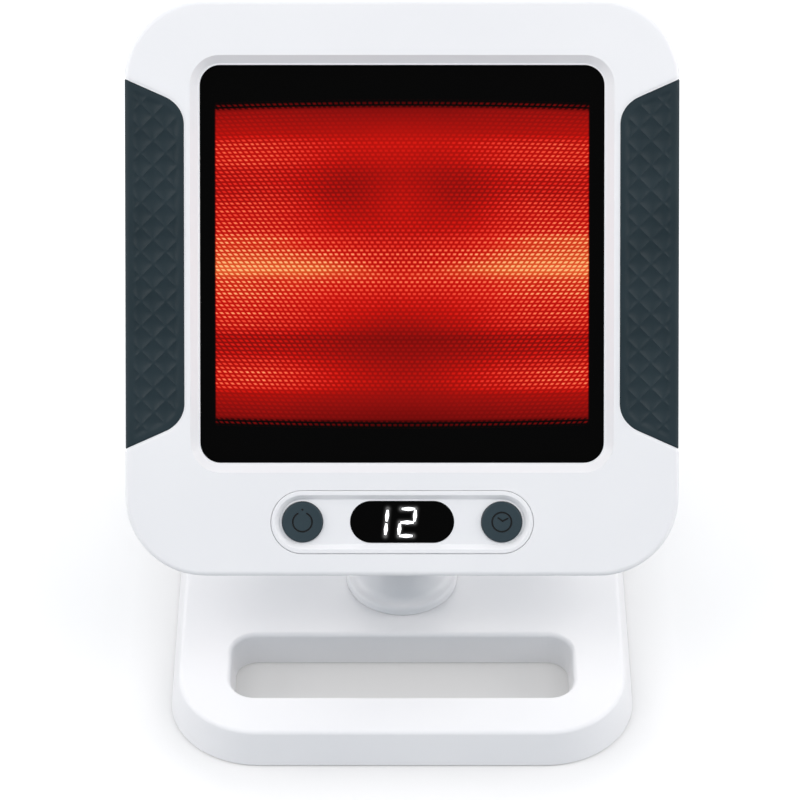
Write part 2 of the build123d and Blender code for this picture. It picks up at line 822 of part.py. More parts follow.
def fan_frame():
    """Square fan housing with a bearing held on struts across its back."""
    frame = prism(Pos(0, fan_up) * RectangleRounded(fan_size, fan_size, fan_corner), fan_front, fan_back)
    frame -= rod(fan_bore, fan_front - 1, fan_back + 1, 0, fan_up)
    plate_front = fan_back - fan_back_plate
    struts = slab(plate_front, fan_back, 2 * fan_bore + 2, fan_strut, 0, fan_up)
    struts += slab(plate_front, fan_back, fan_strut, 2 * fan_bore + 2, 0, fan_up)
    frame += struts + rod(fan_hub, plate_front, fan_back, 0, fan_up)
    frame += rod(fan_bearing, fan_back - fan_bearing_length, fan_back, 0, fan_up)
    frame -= rod(fan_shaft + running, fan_front, fan_back - fan_end_wall, 0, fan_up)
    for x, y in fan_screw_places():
        frame -= rod(screw_shank + slack, fan_front - 1, fan_back + 1, x, y)
    return frame


def fan_rotor():
    """Hub, shaft and blades."""
    front = fan_front + fan_side_gap
    back = fan_back - fan_back_plate - fan_side_gap
    hub = rod(fan_hub, front, back, 0, fan_up)
    hub = fillet(hub.faces().sort_by(Axis.Z)[-1].edges(), fan_hub_round)
    hub -= rod(fan_hub - fan_hub_wall, front + fan_hub_wall, back + 1, 0, fan_up)
    rotor = hub + rod(fan_shaft, front + 1, fan_back - fan_side_gap, 0, fan_up)
    tip = fan_bore - fan_tip_gap
    ring = rod(tip, front + 0.4, back - 0.4, 0, fan_up) - rod(fan_hub - 0.8, front, back, 0, fan_up)
    middle = -(front + back) / 2
    for number in range(fan_blades):
        blade = Pos(tip / 2, 0) * (Rot(fan_blade_pitch, 0, 0) * Box(tip, 40, fan_blade_thickness))
        blade = blade & Pos(tip / 2, 0) * Box(tip, fan_blade_chord, 40)
        turned = Pos(0, fan_up, middle) * (Rot(0, 0, number * 360 / fan_blades) * blade)
        rotor += turned & ring
    return rotor


def fan_screws():
    """Long screws through the fan's corners."""
    length = fan_thickness + fan_standoff - 0.3
    return group([pan_screw(length, x, y, -fan_front) for x, y in fan_screw_places()])


# ---- Head: rear -----------------------------------------------------------------------------------
def grille_openings():
    """Slots in front of the fan, in three columns."""
    half_rows = int((grille_radius - grille_slot) / grille_pitch)
    openings = []
    for row in range(-half_rows, half_rows + 1):
        reach = sqrt(grille_radius**2 - (row * grille_pitch) ** 2)
        bar = Pos(0, fan_up + row * grille_pitch) * pill(2 * reach, grille_slot)
        openings.append(prism(bar, bulge_depth - 6, bulge_depth + 1))
    cut = openings[0]
    for opening in openings[1:]:
        cut += opening
    for x in (-grille_radius / 3, grille_radius / 3):
        cut -= slab(0, 100, grille_rib, 200, x, fan_up)
    return cut


def vent_openings():
    """Upright slots for warm air near the top and for cool air beside the hinge."""
    cut = None
    high = bulge_up + bulge_height / 2 - vent_margin
    low = bulge_up - bulge_height / 2 + vent_margin
    first = -(vent_count - 1) / 2 * vent_pitch
    slots = [(first + number * vent_pitch, high - vent_length, high) for number in range(vent_count)]
    for number in range(inlet_count):
        x = ear_outer + inlet_gap + number * vent_pitch
        slots += [(-x, low, low + inlet_length), (x, low, low + inlet_length)]
    for x, low, high in slots:
        slot = Pos(x, (low + high) / 2) * (Rot(0, 0, 90) * pill(high - low, vent_width))
        opening = prism(slot, rim_depth + 4, bulge_depth + 1)
        cut = opening if cut is None else cut + opening
    return cut


def hinge_ears():
    """Two ears that carry the tilt axle, each with a round seat for the axle's head or nut."""
    side = Plane.YZ
    eye = Pos(-pivot_down, -pivot_depth) * Circle(ear_radius)
    root_height = ear_root_low + ear_root_high
    root_up = (ear_root_high - ear_root_low) / 2 - pivot_down
    root = Pos(root_up, wall / 2 - rim_depth) * Rectangle(root_height, wall / 2)
    profile = make_hull((eye + root).edges())
    ear = extrude(Pos(ear_inner, 0, 0) * (side * profile), amount=ear_thickness)
    outline = ear.edges().filter_by_position(Axis.X, ear_outer - 0.01, ear_outer + 0.01)
    ear = fillet(outline.filter_by_position(Axis.Z, -200, -rim_depth), ear_round)
    ear -= crossbar(axle_radius + running, 0, 60, -pivot_down, -pivot_depth)
    ear -= crossbar(axle_head + axle_head_gap, axle_seat, 60, -pivot_down, -pivot_depth)
    return both_sides(ear)


def rear_shell(form, core, pocket_floor):
    """White rear moulding with the bulge, vents, fan grille, hinge ears and screw bosses."""
    front = part_depth + seam
    shell = (form - core) & slab(front, bulge_depth + 5)
    shell += pocket_floor & slab(front, grip_depth + 5)
    shell += hinge_ears() - core
    for x, y in head_posts:
        boss = rod(post_radius, front, rim_depth, x, y) & form
        shell += boss
        shell -= rod(screw_shank + slack, front - 1, rim_depth + 1, x, y)
        shell -= rod(screw_head + sink_slack, front + case_screw_seat, rim_depth + 1, x, y)
    for x, y in fan_screw_places():
        shell += rod(fan_post, fan_back, bulge_inside + 0.5, x, y)
        shell -= rod(screw_shank + screw_slack, fan_back - 1, bulge_inside, x, y)
    for x, y in mains_post_places():
        shell += rod(mains_post, rim_inside - mains_standoff, rim_inside + 0.5, x, y)
        shell -= rod(small_screw_shank + screw_slack, rim_inside - mains_standoff - 1, rim_inside, x, y)
    for x, y in bracket_screw_places():
        shell += rod(post_radius, rim_inside, rim_inside + bracket_boss, x, y) & form
        shell -= rod(screw_shank + screw_slack, rim_inside - 1, rim_inside + bracket_boss, x, y)
    shell -= grille_openings()
    shell -= vent_openings()
    return shell - rod(gland_body + slack, rim_inside - 1, rim_depth + 1, gland_x, gland_y)


def seam_tongue(core, rib_face, rib_back):
    """Thin rib inside the rear shell's edge that reaches into the front frame."""
    root = part_depth + tongue_reach + 1
    rib = (rib_face - rib_back) & slab(part_depth - tongue_reach, root)
    rib += (core - rib_back) & slab(part_depth + 2 * seam, root)
    return rib - grip_zone(pocket_wall + air)


def case_screws():
    """Screws that pull the two halves of the head together."""
    seat = part_depth + seam + case_screw_seat
    return group([pan_screw(seat - case_screw_grip, x, y, -seat, down=False) for x, y in head_posts])


def cord_gland():
    """Bush for the mains cord: a flange outside, a short nose and a collar inside."""
    x, y = gland_x, gland_y
    gland = rod(gland_body, rim_inside - gland_inside, rim_depth + 0.5, x, y)
    gland += rod(gland_flange, rim_depth, rim_depth + gland_flange_thickness, x, y)
    nose_end = rim_depth + gland_flange_thickness + gland_nose_length
    nose = rod(gland_nose, rim_depth + gland_flange_thickness - 0.5, nose_end, x, y)
    nose = fillet(nose.faces().sort_by(Axis.Z)[0].edges(), gland_nose_round)
    gland += nose
    return gland - rod(gland_bore, 0, nose_end + 1, x, y)


def gland_nut():
    """Ring nut that clamps the gland from inside the rear shell."""
    x, y = gland_x, gland_y
    hexagon = Pos(x, y) * RegularPolygon(gland_flange, 6)
    nut = prism(hexagon, rim_inside - gland_nut_height, rim_inside)
    return nut - rod(gland_body + running, 0, rim_depth, x, y)


# ---- Head: mains board ----------------------------------------------------------------------------
def mains_post_places():
    """Where the mains board stands on the rear shell."""
    left = mains_left + mains_post_inset
    right = mains_right - mains_post_inset
    low = mains_low + mains_post_inset
    high = mains_high - mains_post_inset
    return [(x, y) for x in (left, right) for y in (low, high)]


def mains_board():
    """Circuit board for the heater's power."""
    width = mains_right - mains_left
    x, y = (mains_left + mains_right) / 2, (mains_low + mains_high) / 2
    board = slab(mains_board_front, mains_board_back, width, mains_height, x, y)
    for place in mains_post_places():
        board -= rod(small_screw_shank + slack, mains_board_front - 1, mains_board_back + 1, *place)
    return board


def mains_screws():
    """Screws of the mains board."""
    screws = []
    for x, y in mains_post_places():
        shank = rod(small_screw_shank, mains_board_front, rim_inside - 0.4, x, y)
        head_front = mains_board_front - small_screw_head_height
        screws.append(shank + rod(small_screw_head, head_front, mains_board_front, x, y))
    return group(screws)


def board_block(width, height, tall, x, y):
    """A boxy component that stands on the mains board, placed from the board's lower left corner."""
    place = (mains_left + x, mains_low + y)
    return slab(mains_board_front - tall, mains_board_front, width, height, *place)


# ---- Tilt hinge -----------------------------------------------------------------------------------
def hinge_bracket():
    """Steel plate inside the rear shell that spreads the ears' load."""
    height = bracket_below + bracket_above
    y = (bracket_above - bracket_below) / 2 - pivot_down
    plate = slab(rim_inside - bracket_thickness, rim_inside, bracket_width, height, 0, y)
    plate = fillet(plate.edges().filter_by(Axis.Z), plate_corner)
    for x, y in bracket_screw_places():
        plate -= rod(screw_shank + slack, 0, rim_depth, x, y)
    return plate


def bracket_screw_places():
    """Where the hinge bracket is screwed to the rear shell."""
    heights = (-pivot_down - bracket_screw_below, -pivot_down + bracket_screw_above)
    return [(x * ear_outer, y) for x in (-1, 1) for y in heights]


def bracket_screws():
    """Screws of the hinge bracket."""
    seat = rim_inside - bracket_thickness
    length = bracket_thickness + bracket_boss - 0.5
    return group([pan_screw(length, x, y, -seat) for x, y in bracket_screw_places()])


def tilt_axle():
    """Shoulder bolt through ears and neck, with a thin slot across its head."""
    bolt_end = -axle_seat - axle_head_height + 0.4
    bolt = crossbar(axle_radius, bolt_end, axle_seat, -pivot_down, -pivot_depth)
    head = crossbar(axle_head, axle_seat, axle_seat + axle_head_height, -pivot_down, -pivot_depth)
    return bolt + head


def tilt_nut():
    """Hexagon lock nut at the axle's other end."""
    side = Plane.YZ * RegularPolygon(nut_flats / 2, 6, major_radius=False)
    place = Pos(-axle_seat - axle_head_height, -pivot_down, -pivot_depth)
    nut = extrude(place * side, amount=axle_head_height)
    return nut - crossbar(axle_radius + running, -60, 0, -pivot_down, -pivot_depth)


def hinge_caps():
    """Round covers pressed into the seats at both ends of the axle."""
    radius = axle_head + axle_head_gap - cap_fit
    inner = ear_outer - cap_thickness + cap_fit
    cap = crossbar(radius, inner, ear_outer, -pivot_down, -pivot_depth)
    cap = fillet(cap.faces().sort_by(Axis.X)[-1].edges(), cap_round)
    return group([cap, mirror(cap, Plane.YZ)])


def friction_washers():
    """Washers that hold the head where it is put."""
    washer = crossbar(washer_radius, ear_inner - washer_thickness, ear_inner, -pivot_down, -pivot_depth)
    washer -= crossbar(axle_radius + running, 0, 60, -pivot_down, -pivot_depth)
    return group([washer, mirror(washer, Plane.YZ)])


# ---- Neck -----------------------------------------------------------------------------------------
def knuckle_profile(radius):
    """Side view of the neck's top: a round eye on a straight shank."""
    eye = Pos(0, pivot_height) * Circle(radius)
    shank_low = neck_shoulder - 8
    shank = Pos(0, (shank_low + pivot_height) / 2) * Rectangle(2 * radius, pivot_height - shank_low)
    return eye + shank


def neck_shell():
    """White neck cover: a round column with a skirt at its foot, narrowing to the tilt hinge."""
    column = upright(neck_radius, flange_top, neck_shoulder)
    skirt_top = base_height + skirt_height
    column += upright(skirt_radius, base_height + skirt_gap, skirt_top)
    rings = column.edges().filter_by(GeomType.CIRCLE).filter_by_position(Axis.Z, skirt_top, skirt_top)
    column = fillet(rings.sort_by(SortBy.RADIUS)[0], skirt_blend)
    rings = column.edges().filter_by(GeomType.CIRCLE).filter_by_position(Axis.Z, skirt_top, skirt_top)
    column = fillet(rings.sort_by(SortBy.RADIUS)[-1], skirt_edge)
    column = fillet(column.faces().sort_by(Axis.Z)[-1].edges(), neck_edge)
    half = knuckle_width / 2
    knuckle = extrude(Pos(-half, 0, 0) * (Plane.YZ * knuckle_profile(knuckle_radius)), amount=knuckle_width)
    rims = knuckle.edges().filter_by_position(Axis.X, -half - 0.01, -half + 0.01)
    rims += knuckle.edges().filter_by_position(Axis.X, half - 0.01, half + 0.01)
    knuckle = fillet(rims, knuckle_round)
    shell = column + knuckle
    shell -= upright(neck_radius - neck_wall, flange_top - 1, neck_shoulder - neck_wall)
    room = half - knuckle_skin
    inner = knuckle_profile(core_knuckle + air)
    shell -= extrude(Pos(-room, 0, 0) * (Plane.YZ * inner), amount=2 * room)
    for x, y in neck_screw_places():
        boss_top = flange_top + neck_screw_depth
        web_x, web_y = x * 1.13, y * 1.13
        shell += upright(neck_screw_boss, flange_top, boss_top, x, y)
        shell += upright(neck_screw_boss - 0.6, flange_top, boss_top, web_x, web_y)
        shell -= upright(screw_shank + screw_slack, flange_top - 1, boss_top - 2, x, y)
    return shell - crossbar(axle_radius + slack, -60, 60, 0, pivot_height)


def neck_screw_places():
    """Three screws on a circle that hold the neck cover down on the swivel flange."""
    return on_circle(neck_screw_circle, neck_screw_angles)


def on_circle(radius, angles):
    """Points on a circle round the swivel axis, angles counted from its right side."""
    return [(radius * cos(radians(angle)), radius * sin(radians(angle))) for angle in angles]


def neck_core():
    """Cast core of the neck: swivel flange with its stop lug, hollow stem and hinge eye."""
    core = upright(flange_radius, flange_bottom, flange_top)
    lug_end = flange_radius + flange_lug_reach
    lug = upright(lug_end, flange_bottom, flange_top)
    width = 2 * lug_end * sin(radians(flange_lug_angle))
    core += lug & Pos(0, lug_end / 2, (flange_top + flange_bottom) / 2) * Box(width, lug_end, 20)
    core += upright(stem_outer, ring_bottom - 1, pivot_height - 4)
    half = knuckle_width / 2 - knuckle_skin - air
    eye = extrude(Pos(-half, 0, 0) * (Plane.YZ * knuckle_profile(core_knuckle)), amount=2 * half)
    core += eye & upright(neck_radius - neck_wall - air, neck_shoulder - 12, pivot_height + 40)
    core -= upright(stem_bore, ring_bottom - 2, pivot_height - 10)
    for x, y in neck_screw_places():
        core -= upright(screw_shank + slack, flange_bottom - 1, flange_top + 1, x, y)
        core -= upright(screw_head + sink_slack, flange_bottom - 1, flange_bottom + screw_head_height, x, y)
    return core - crossbar(axle_radius + running, -60, 60, 0, pivot_height)


def neck_screws():
    """Screws that hold the neck cover to its core."""
    seat = flange_bottom + screw_head_height
    return group([pan_screw(neck_screw_depth - 3, x, y, seat, down=False) for x, y in neck_screw_places()])


# ---- Base -----------------------------------------------------------------------------------------
def base_form(inset=0.0, low=base_clear):
    """The outside form of the base, or the same form shrunk by inset, cut off at its underside."""
    outline = RectangleRounded(base_width - 2 * inset, base_length - 2 * inset, base_corner - inset)
    height = base_height - inset - base_clear
    form = extrude(Pos(0, base_middle, base_clear) * outline, amount=height, taper=base_draft)
    form = fillet(form.faces().sort_by(Axis.Z)[-1].edges(), max(base_edge - inset, 0.5))
    if low < base_clear:
        form += extrude(Pos(0, base_middle, low) * outline, amount=base_clear - low)
    return form


def slot_form(grow=0.0, low=-1.0, high=base_height):
    """The hand slot through the base, narrower below, larger by grow all round."""
    turned = Plane(origin=(0, slot_middle, high), x_dir=(1, 0, 0), z_dir=(0, 0, -1))
    rise = (base_height - high) * tan(radians(slot_draft))
    width = slot_width + 2 * grow - 2 * rise
    length = slot_length + 2 * grow - 2 * rise
    outline = RectangleRounded(width, length, slot_corner + grow - rise)
    return extrude(turned * outline, amount=high - low, taper=slot_draft)


def base_screw_places():
    """Screws that close the base from below."""
    side = base_width / 2 - base_screw_inset
    front = -(slot_near + base_front) / 2
    ends = [(base_screw_front, front), (side, 0), (base_screw_rear, base_rear - base_screw_inset)]
    return [(turn * x, y) for x, y in ends for turn in (-1, 1)]


def ring_screw_places():
    """Screws that hold the swivel retainer up under the base's top."""
    return on_circle(ring_screw_circle, ring_screw_angles)


def base_shell():
    """White base moulding with the hand slot and the hole that the neck turns in."""
    shell = base_form() - slot_form(0.0, -5, base_height)
    mouth = shell.edges().filter_by_position(Axis.Z, base_height - 0.01, base_height + 0.01)
    mouth = mouth.filter_by(lambda edge: abs(edge.center().Y - slot_middle) < slot_length / 2 + 1)
    mouth = mouth.filter_by(lambda edge: abs(edge.center().X) < slot_width / 2 + 1)
    shell = fillet(mouth, slot_edge)
    hollow = base_form(base_wall, -1.0)
    hollow -= slot_form(slot_wall, -5, base_height)
    shell -= hollow
    for x, y in base_screw_places():
        shell += upright(base_boss, plate_top, base_top_inside + 0.5, x, y)
        shell -= upright(screw_shank + screw_slack, plate_top - 1, base_top_inside - 1, x, y)
    for x, y in ring_screw_places():
        shell += upright(ring_screw_boss, ring_top, base_top_inside + 0.5, x, y)
        shell -= upright(screw_shank + screw_slack, ring_top - 1, base_top_inside, x, y)
    return shell - upright(neck_radius + swivel_slack, -5, base_height + 5)


def base_plate():
    """Flat cover that closes the base from below."""
    gap = base_wall + air + (plate_low - base_clear) * tan(radians(base_draft))
    outline = RectangleRounded(base_width - 2 * gap, base_length - 2 * gap, base_corner - gap)
    plate = extrude(Pos(0, base_middle, plate_low) * outline, amount=plate_thickness, taper=base_draft)
    plate -= slot_form(slot_wall + slack, -5, base_height)
    for x, y in base_screw_places() + ballast_screw_places():
        plate -= upright(screw_shank + slack, 0, plate_top + 1, x, y)
        plate -= upright(screw_head + sink_slack, 0, screw_seat, x, y)
    for x, y in foot_places():
        plate -= upright(foot_radius + slack, 0, plate_low + foot_pocket, x, y)
    return plate


def flat_screw(length, x, y, z):
    """A low-headed screw driven up from below, its head's upper side at z."""
    head = Pos(0, 0, -base_sink / 2) * Cylinder(screw_head, base_sink)
    return Pos(x, y, z) * (head + Pos(0, 0, length / 2) * Cylinder(screw_shank, length))


def base_screws():
    """Screws of the base plate."""
    return group([flat_screw(base_screw_length, x, y, screw_seat) for x, y in base_screw_places()])


def ballast_plate():
    """Steel weight that lies on the base plate round the swivel."""
    length = ballast_rear - ballast_front
    middle = (ballast_rear + ballast_front) / 2
    outline = Pos(0, middle, plate_top) * RectangleRounded(2 * ballast_half_width, length, ballast_corner)
    plate = extrude(outline, amount=ballast_thickness)
    plate -= upright(ballast_bore, 0, base_height, 0, 0)
    for x, y in base_screw_places():
        plate -= upright(base_boss + ballast_boss_gap, 0, base_height, x, y)
    for x, y in ballast_screw_places():
        plate -= upright(screw_shank + screw_slack, 0, base_height, x, y)
    return plate


def ballast_screw_places():
    """Screws that hold the ballast to the base plate."""
    side = ballast_half_width - ballast_screw_inset
    front = ballast_front + ballast_screw_front
    return [(-side, front), (side, front), (0, ballast_rear - ballast_screw_front)]


def ballast_screws():
    """Screws up into the ballast."""
    length = plate_thickness + ballast_screw_grip
    return group([flat_screw(length, x, y, screw_seat) for x, y in ballast_screw_places()])


def foot_places():
    """The four feet."""
    out = base_width / 2 - foot_side_gap
    front = foot_front_gap - base_front
    rear = base_rear - foot_rear_gap
    return [(x * reach, y) for reach, y in ((out, front), (out - foot_rear_step, rear)) for x in (-1, 1)]


def rubber_feet():
    """Round rubber feet set into the base plate."""
    feet = []
    for x, y in foot_places():
        foot = upright(foot_radius, 0, foot_thickness, x, y)
        feet.append(fillet(foot.faces().sort_by(Axis.Z)[0].edges(), small_fillet))
    return group(feet)


def swivel_washer():
    """Slippery ring between base and swivel flange."""
    ring = upright(flange_radius - 0.5, flange_top + swivel_gap, base_top_inside)
    return ring - upright(neck_radius + swivel_slack + slack, 0, base_height)


def swivel_retainer():
    """Ring plate that carries the swivel flange from below."""
    ring = upright(retainer_ring_outer, ring_bottom, ring_top) - upright(retainer_ring_inner, 0, base_height)
    for x, y in ring_screw_places():
        ring -= upright(screw_shank + slack, 0, base_height, x, y)
    return ring


def ring_screws():
    """Screws of the swivel retainer."""
    length = base_top_inside - ring_bottom - ring_screw_end_gap
    return group([pan_screw(length, x, y, ring_bottom, down=False) for x, y in ring_screw_places()])


# ---- Put together ---------------------------------------------------------------------------------
def head_pieces():
    """Every piece of the head, lying on its back."""
    form = head_form()
    core = head_form(wall)
    pocket_back = head_form(grip_pocket)
    pocket_floor = (pocket_back - head_form(grip_pocket + pocket_wall)) & grip_zone(pocket_wall)
    ledge = (form - head_form(ledge_depth)) & grip_zone(ledge_width)
    recess = ((form - pocket_back) & grip_zone()) + ledge
    left, right = grips(form, head_form(grip_sink), head_form(grip_pocket - slack))
    tongue_rib = seam_tongue(core, head_form(wall + slack), head_form(wall + slack + tongue))
    pieces = {
        "front_frame": front_frame(form, core, pocket_floor) - recess,
        "rear_shell": rear_shell(form, core, pocket_floor) + tongue_rib - recess,
        "left_grip": left,
        "right_grip": right,
        "glass_gasket": glass_gasket(),
        "glass_panel": glass_panel(),
        "glass_retainer": glass_retainer(),
        "retainer_screws": retainer_screws(),
        "control_panel": control_panel(),
        "display_window": display_window(),
        "power_button": power_button(),
        "timer_button": timer_button(),
        "control_board": control_board(),
        "board_screws": board_screws(),
        "led_display": led_display(),
        "tact_switches": tact_switches(),
        "reflector": reflector(),
        "heat_shield": heat_shield(),
        "reflector_screws": reflector_screws(),
        "heater_tube": heater_tube(),
        "heating_coil": heating_coil(),
        "tube_holders": tube_holders(),
        "thermal_cutout": thermal_cutout(),
        "fan_frame": fan_frame(),
        "fan_rotor": fan_rotor(),
        "fan_screws": fan_screws(),
        "case_screws": case_screws(),
        "cord_gland": cord_gland(),
        "gland_nut": gland_nut(),
        "mains_board": mains_board(),
        "mains_screws": mains_screws(),
        "relay": board_block(19.0, 10.0, 11.5, 17.0, 21.0),
        "mains_capacitor": board_block(18.0, 8.0, 11.0, 17.0, 8.5),
        "transformer": board_block(17.0, 16.0, 11.0, 37.0, 17.5),
        "terminal_block": board_block(15.0, 8.0, 9.0, 37.5, 5.0),
        "hinge_bracket": hinge_bracket(),
        "bracket_screws": bracket_screws(),
        "tilt_axle": tilt_axle(),
        "tilt_nut": tilt_nut(),
        "hinge_caps": hinge_caps(),
        "friction_washers": friction_washers(),
    }
    return pieces


def stand_pieces():
    """Every piece of the neck and the base, upright."""
    return {
        "neck_shell": neck_shell(),
        "neck_core": neck_core(),
        "neck_screws": neck_screws(),
        "base_shell": base_shell(),
        "base_plate": base_plate(),
        "base_screws": base_screws(),
        "ballast_plate": ballast_plate(),
        "ballast_screws": ballast_screws(),
        "rubber_feet": rubber_feet(),
        "swivel_washer": swivel_washer(),
        "swivel_retainer": swivel_retainer(),
        "ring_screws": ring_screws(),
    }


def place_head(shape):
    """Leans a piece of the head back onto the tilt axis."""
    turn = Pos(0, 0, pivot_height) * Rot(90 - head_lean, 0, 0) * Pos(0, pivot_down, pivot_depth)
    return turn * shape


def centre_offset(pieces):
    """How far the lot moves along Y to stand centred over the origin."""
    boxes = [piece.bounding_box() for piece in pieces.values()]
    return -(min(box.min.Y for box in boxes) + max(box.max.Y for box in boxes)) / 2


def build():
    """All pieces in place, and how far the swivel axis stands from the origin along Y."""
    pieces = {name: place_head(shape) for name, shape in head_pieces().items()}
    pieces.update(stand_pieces())
    offset = centre_offset(pieces)
    return {name: group([Pos(0, offset, 0) * piece]) for name, piece in pieces.items()}, offset


pieces, axis_offset = build()
os.makedirs("parts", exist_ok=True)
for name, piece in pieces.items():
    export_step(piece, f"parts/{name}.step")
print(len(pieces), "nodes, swivel axis at Y =", round(axis_offset, 3))
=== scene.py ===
# %% [markdown]
# # An infrared heat lamp
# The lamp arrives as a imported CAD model: its solids, its joints and their names. This script keeps those
# solids as a fixed frame and gives them their looks. Pieces whose surface is finer than CAD should carry,
# such as the quilted grips, are modelled here and ride on the same bodies.

import json
from math import atan2, cos, degrees, pi, radians, sin, sqrt, tan

import bmesh
import bpy
from mathutils import Euler, Matrix, Vector


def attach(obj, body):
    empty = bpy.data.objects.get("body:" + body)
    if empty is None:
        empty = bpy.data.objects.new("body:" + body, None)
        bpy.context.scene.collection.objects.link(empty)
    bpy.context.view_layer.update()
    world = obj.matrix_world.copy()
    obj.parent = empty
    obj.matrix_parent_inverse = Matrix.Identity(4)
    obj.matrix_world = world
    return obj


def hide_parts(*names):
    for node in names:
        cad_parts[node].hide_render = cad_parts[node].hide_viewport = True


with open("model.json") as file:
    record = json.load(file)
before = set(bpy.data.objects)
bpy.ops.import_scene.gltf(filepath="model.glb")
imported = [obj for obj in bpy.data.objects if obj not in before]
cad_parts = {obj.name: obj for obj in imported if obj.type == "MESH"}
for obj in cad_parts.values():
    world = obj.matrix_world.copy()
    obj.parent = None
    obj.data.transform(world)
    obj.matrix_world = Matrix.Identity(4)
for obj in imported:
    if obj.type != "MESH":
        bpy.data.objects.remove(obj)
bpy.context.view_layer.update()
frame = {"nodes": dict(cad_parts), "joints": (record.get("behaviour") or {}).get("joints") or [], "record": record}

# %% [markdown]
# ## Two ways to say where something is
# The head leans back, so a point on its face is awkward to name in the world's axes. The head gets axes of
# its own: x to the right, y up the face, z straight out of it, in millimetres from the middle of the face.
# One matrix takes such a point to the world. The CAD model states the tilt hinge and the way the buttons
# travel, which is straight into the face, and the two distances from hinge to face complete it.

# %% The head's own axes
MM = 0.001
PIVOT_BELOW_MIDDLE = 92.0
PIVOT_BEHIND_FACE = 70.0

joints = {joint["name"]: joint for joint in frame["joints"]}
pivot = Vector(joints["head_tilt"]["pos_m"])
into_head = Vector(joints["power_button_press"]["axis"])
HEAD_LEAN = atan2(-into_head.z, into_head.y)
lean_turn = Matrix.Rotation(pi / 2 - HEAD_LEAN, 4, "X")
face_to_pivot = Matrix.Translation(Vector((0, PIVOT_BELOW_MIDDLE, PIVOT_BEHIND_FACE)) * MM)
head_axes = Matrix.Translation(pivot) @ lean_turn @ face_to_pivot @ Matrix.Scale(MM, 4)
face_middle = [round(value / MM, 1) for value in head_axes.translation]
print("lean:", round(degrees(HEAD_LEAN), 2), "middle of the face in mm:", face_middle)

# %% [markdown]
# ## Helpers for materials
# A procedural material is a small graph. These helpers keep each graph readable: one makes a material with
# its plain values set on the shader, one adds a node and wires its inputs, one does arithmetic. A noise
# rarely comes near 0 or 1, so the helpers that spread a value or a tone over it use its middle range.

# %% Material helpers
def new_material(name, colour, roughness, metallic=0.0, **sockets):
    """A Principled material with plain values on the shader's own sockets."""
    material = bpy.data.materials.new(name)
    material.use_nodes = True
    shader = material.node_tree.nodes["Principled BSDF"]
    shader.inputs["Base Color"].default_value = (*colour, 1)
    shader.inputs["Roughness"].default_value = roughness
    shader.inputs["Metallic"].default_value = metallic
    for socket, value in sockets.items():
        shader.inputs[socket.replace("_", " ")].default_value = value
    return material


def add(material, kind, inputs=None, **settings):
    """A node with its settings, its inputs given as values or as other nodes' sockets."""
    made = material.node_tree.nodes.new(kind)
    for name, value in settings.items():
        setattr(made, name, value)
    for name, value in (inputs or {}).items():
        if isinstance(value, bpy.types.NodeSocket):
            material.node_tree.links.new(value, made.inputs[name])
        else:
            made.inputs[name].default_value = value
    return made


def do(material, operation, first, second=0.5, third=0.5):
    """One step of arithmetic, as the socket that holds its answer."""
    return add(material, "ShaderNodeMath", {0: first, 1: second, 2: third}, operation=operation).outputs[0]


def smooth_step(material, value, start, end):
    """0 up to start, 1 from end, smooth between them."""
    inputs = {"Value": value, "From Min": start, "From Max": end}
    return add(material, "ShaderNodeMapRange", inputs, interpolation_type="SMOOTHSTEP").outputs[0]


def ramp(material, value, stops):
    """A colour ramp through (place, colour) stops, colours given as three numbers or as one grey."""
    made = add(material, "ShaderNodeValToRGB", {"Fac": value})
    for number, (place, colour) in enumerate(stops):
        colour = (colour,) * 3 if isinstance(colour, float) else colour
        element = made.color_ramp.elements[number] if number < 2 else made.color_ramp.elements.new(place)
        element.position = place
        element.color = (*colour, 1)
    return made.outputs["Color"]


def shader_of(material):
    """The material's Principled shader."""
    return material.node_tree.nodes["Principled BSDF"]


def wire(material, socket, output):
    """Wires an output into a socket of the material's shader."""
    material.node_tree.links.new(output, shader_of(material).inputs[socket])


def place_of(material):
    """The point being shaded, in the object's own metres."""
    return add(material, "ShaderNodeTexCoord").outputs["Object"]


def noise(material, scale, detail=3.0, vector=None):
    """A soft random value that changes from place to place."""
    inputs = {"Vector": vector or place_of(material), "Scale": scale, "Detail": detail}
    return add(material, "ShaderNodeTexNoise", inputs).outputs[0]


def bump(material, height, strength, depth_mm):
    """Fine relief, its depth given in millimetres."""
    inputs = {"Height": height, "Strength": strength, "Distance": depth_mm * MM}
    wire(material, "Normal", add(material, "ShaderNodeBump", inputs).outputs["Normal"])


NOISE_LOW = 0.3
NOISE_HIGH = 0.7


def vary(material, socket, low, high, scale, detail=3.0):
    """Lets a value of the shader drift between two limits over the surface."""
    inputs = {"Value": noise(material, scale, detail), "To Min": low, "To Max": high}
    inputs.update({"From Min": NOISE_LOW, "From Max": NOISE_HIGH})
    wire(material, socket, add(material, "ShaderNodeMapRange", inputs).outputs[0])


def tones_of(material, marks, dark, light):
    """A colour that follows a noise from dark to light."""
    return ramp(material, marks, [(NOISE_LOW, dark), (NOISE_HIGH, light)])


def mottle(material, dark, light, scale, detail=3.0):
    """Lets the colour drift between two near tones over the surface."""
    wire(material, "Base Color", tones_of(material, noise(material, scale, detail), dark, light))


# %% [markdown]
# ## White mouldings
# Frame, rear shell, neck and base are one injection-moulded white: nearly smooth, a little cool, with the
# fine spark-eroded grain of the mould. A flat colour would look like paper, so the tone drifts slightly over
# centimetres, the roughness over millimetres, and a grain far below a millimetre breaks up the highlight.
# The plate under the base is a duller white.

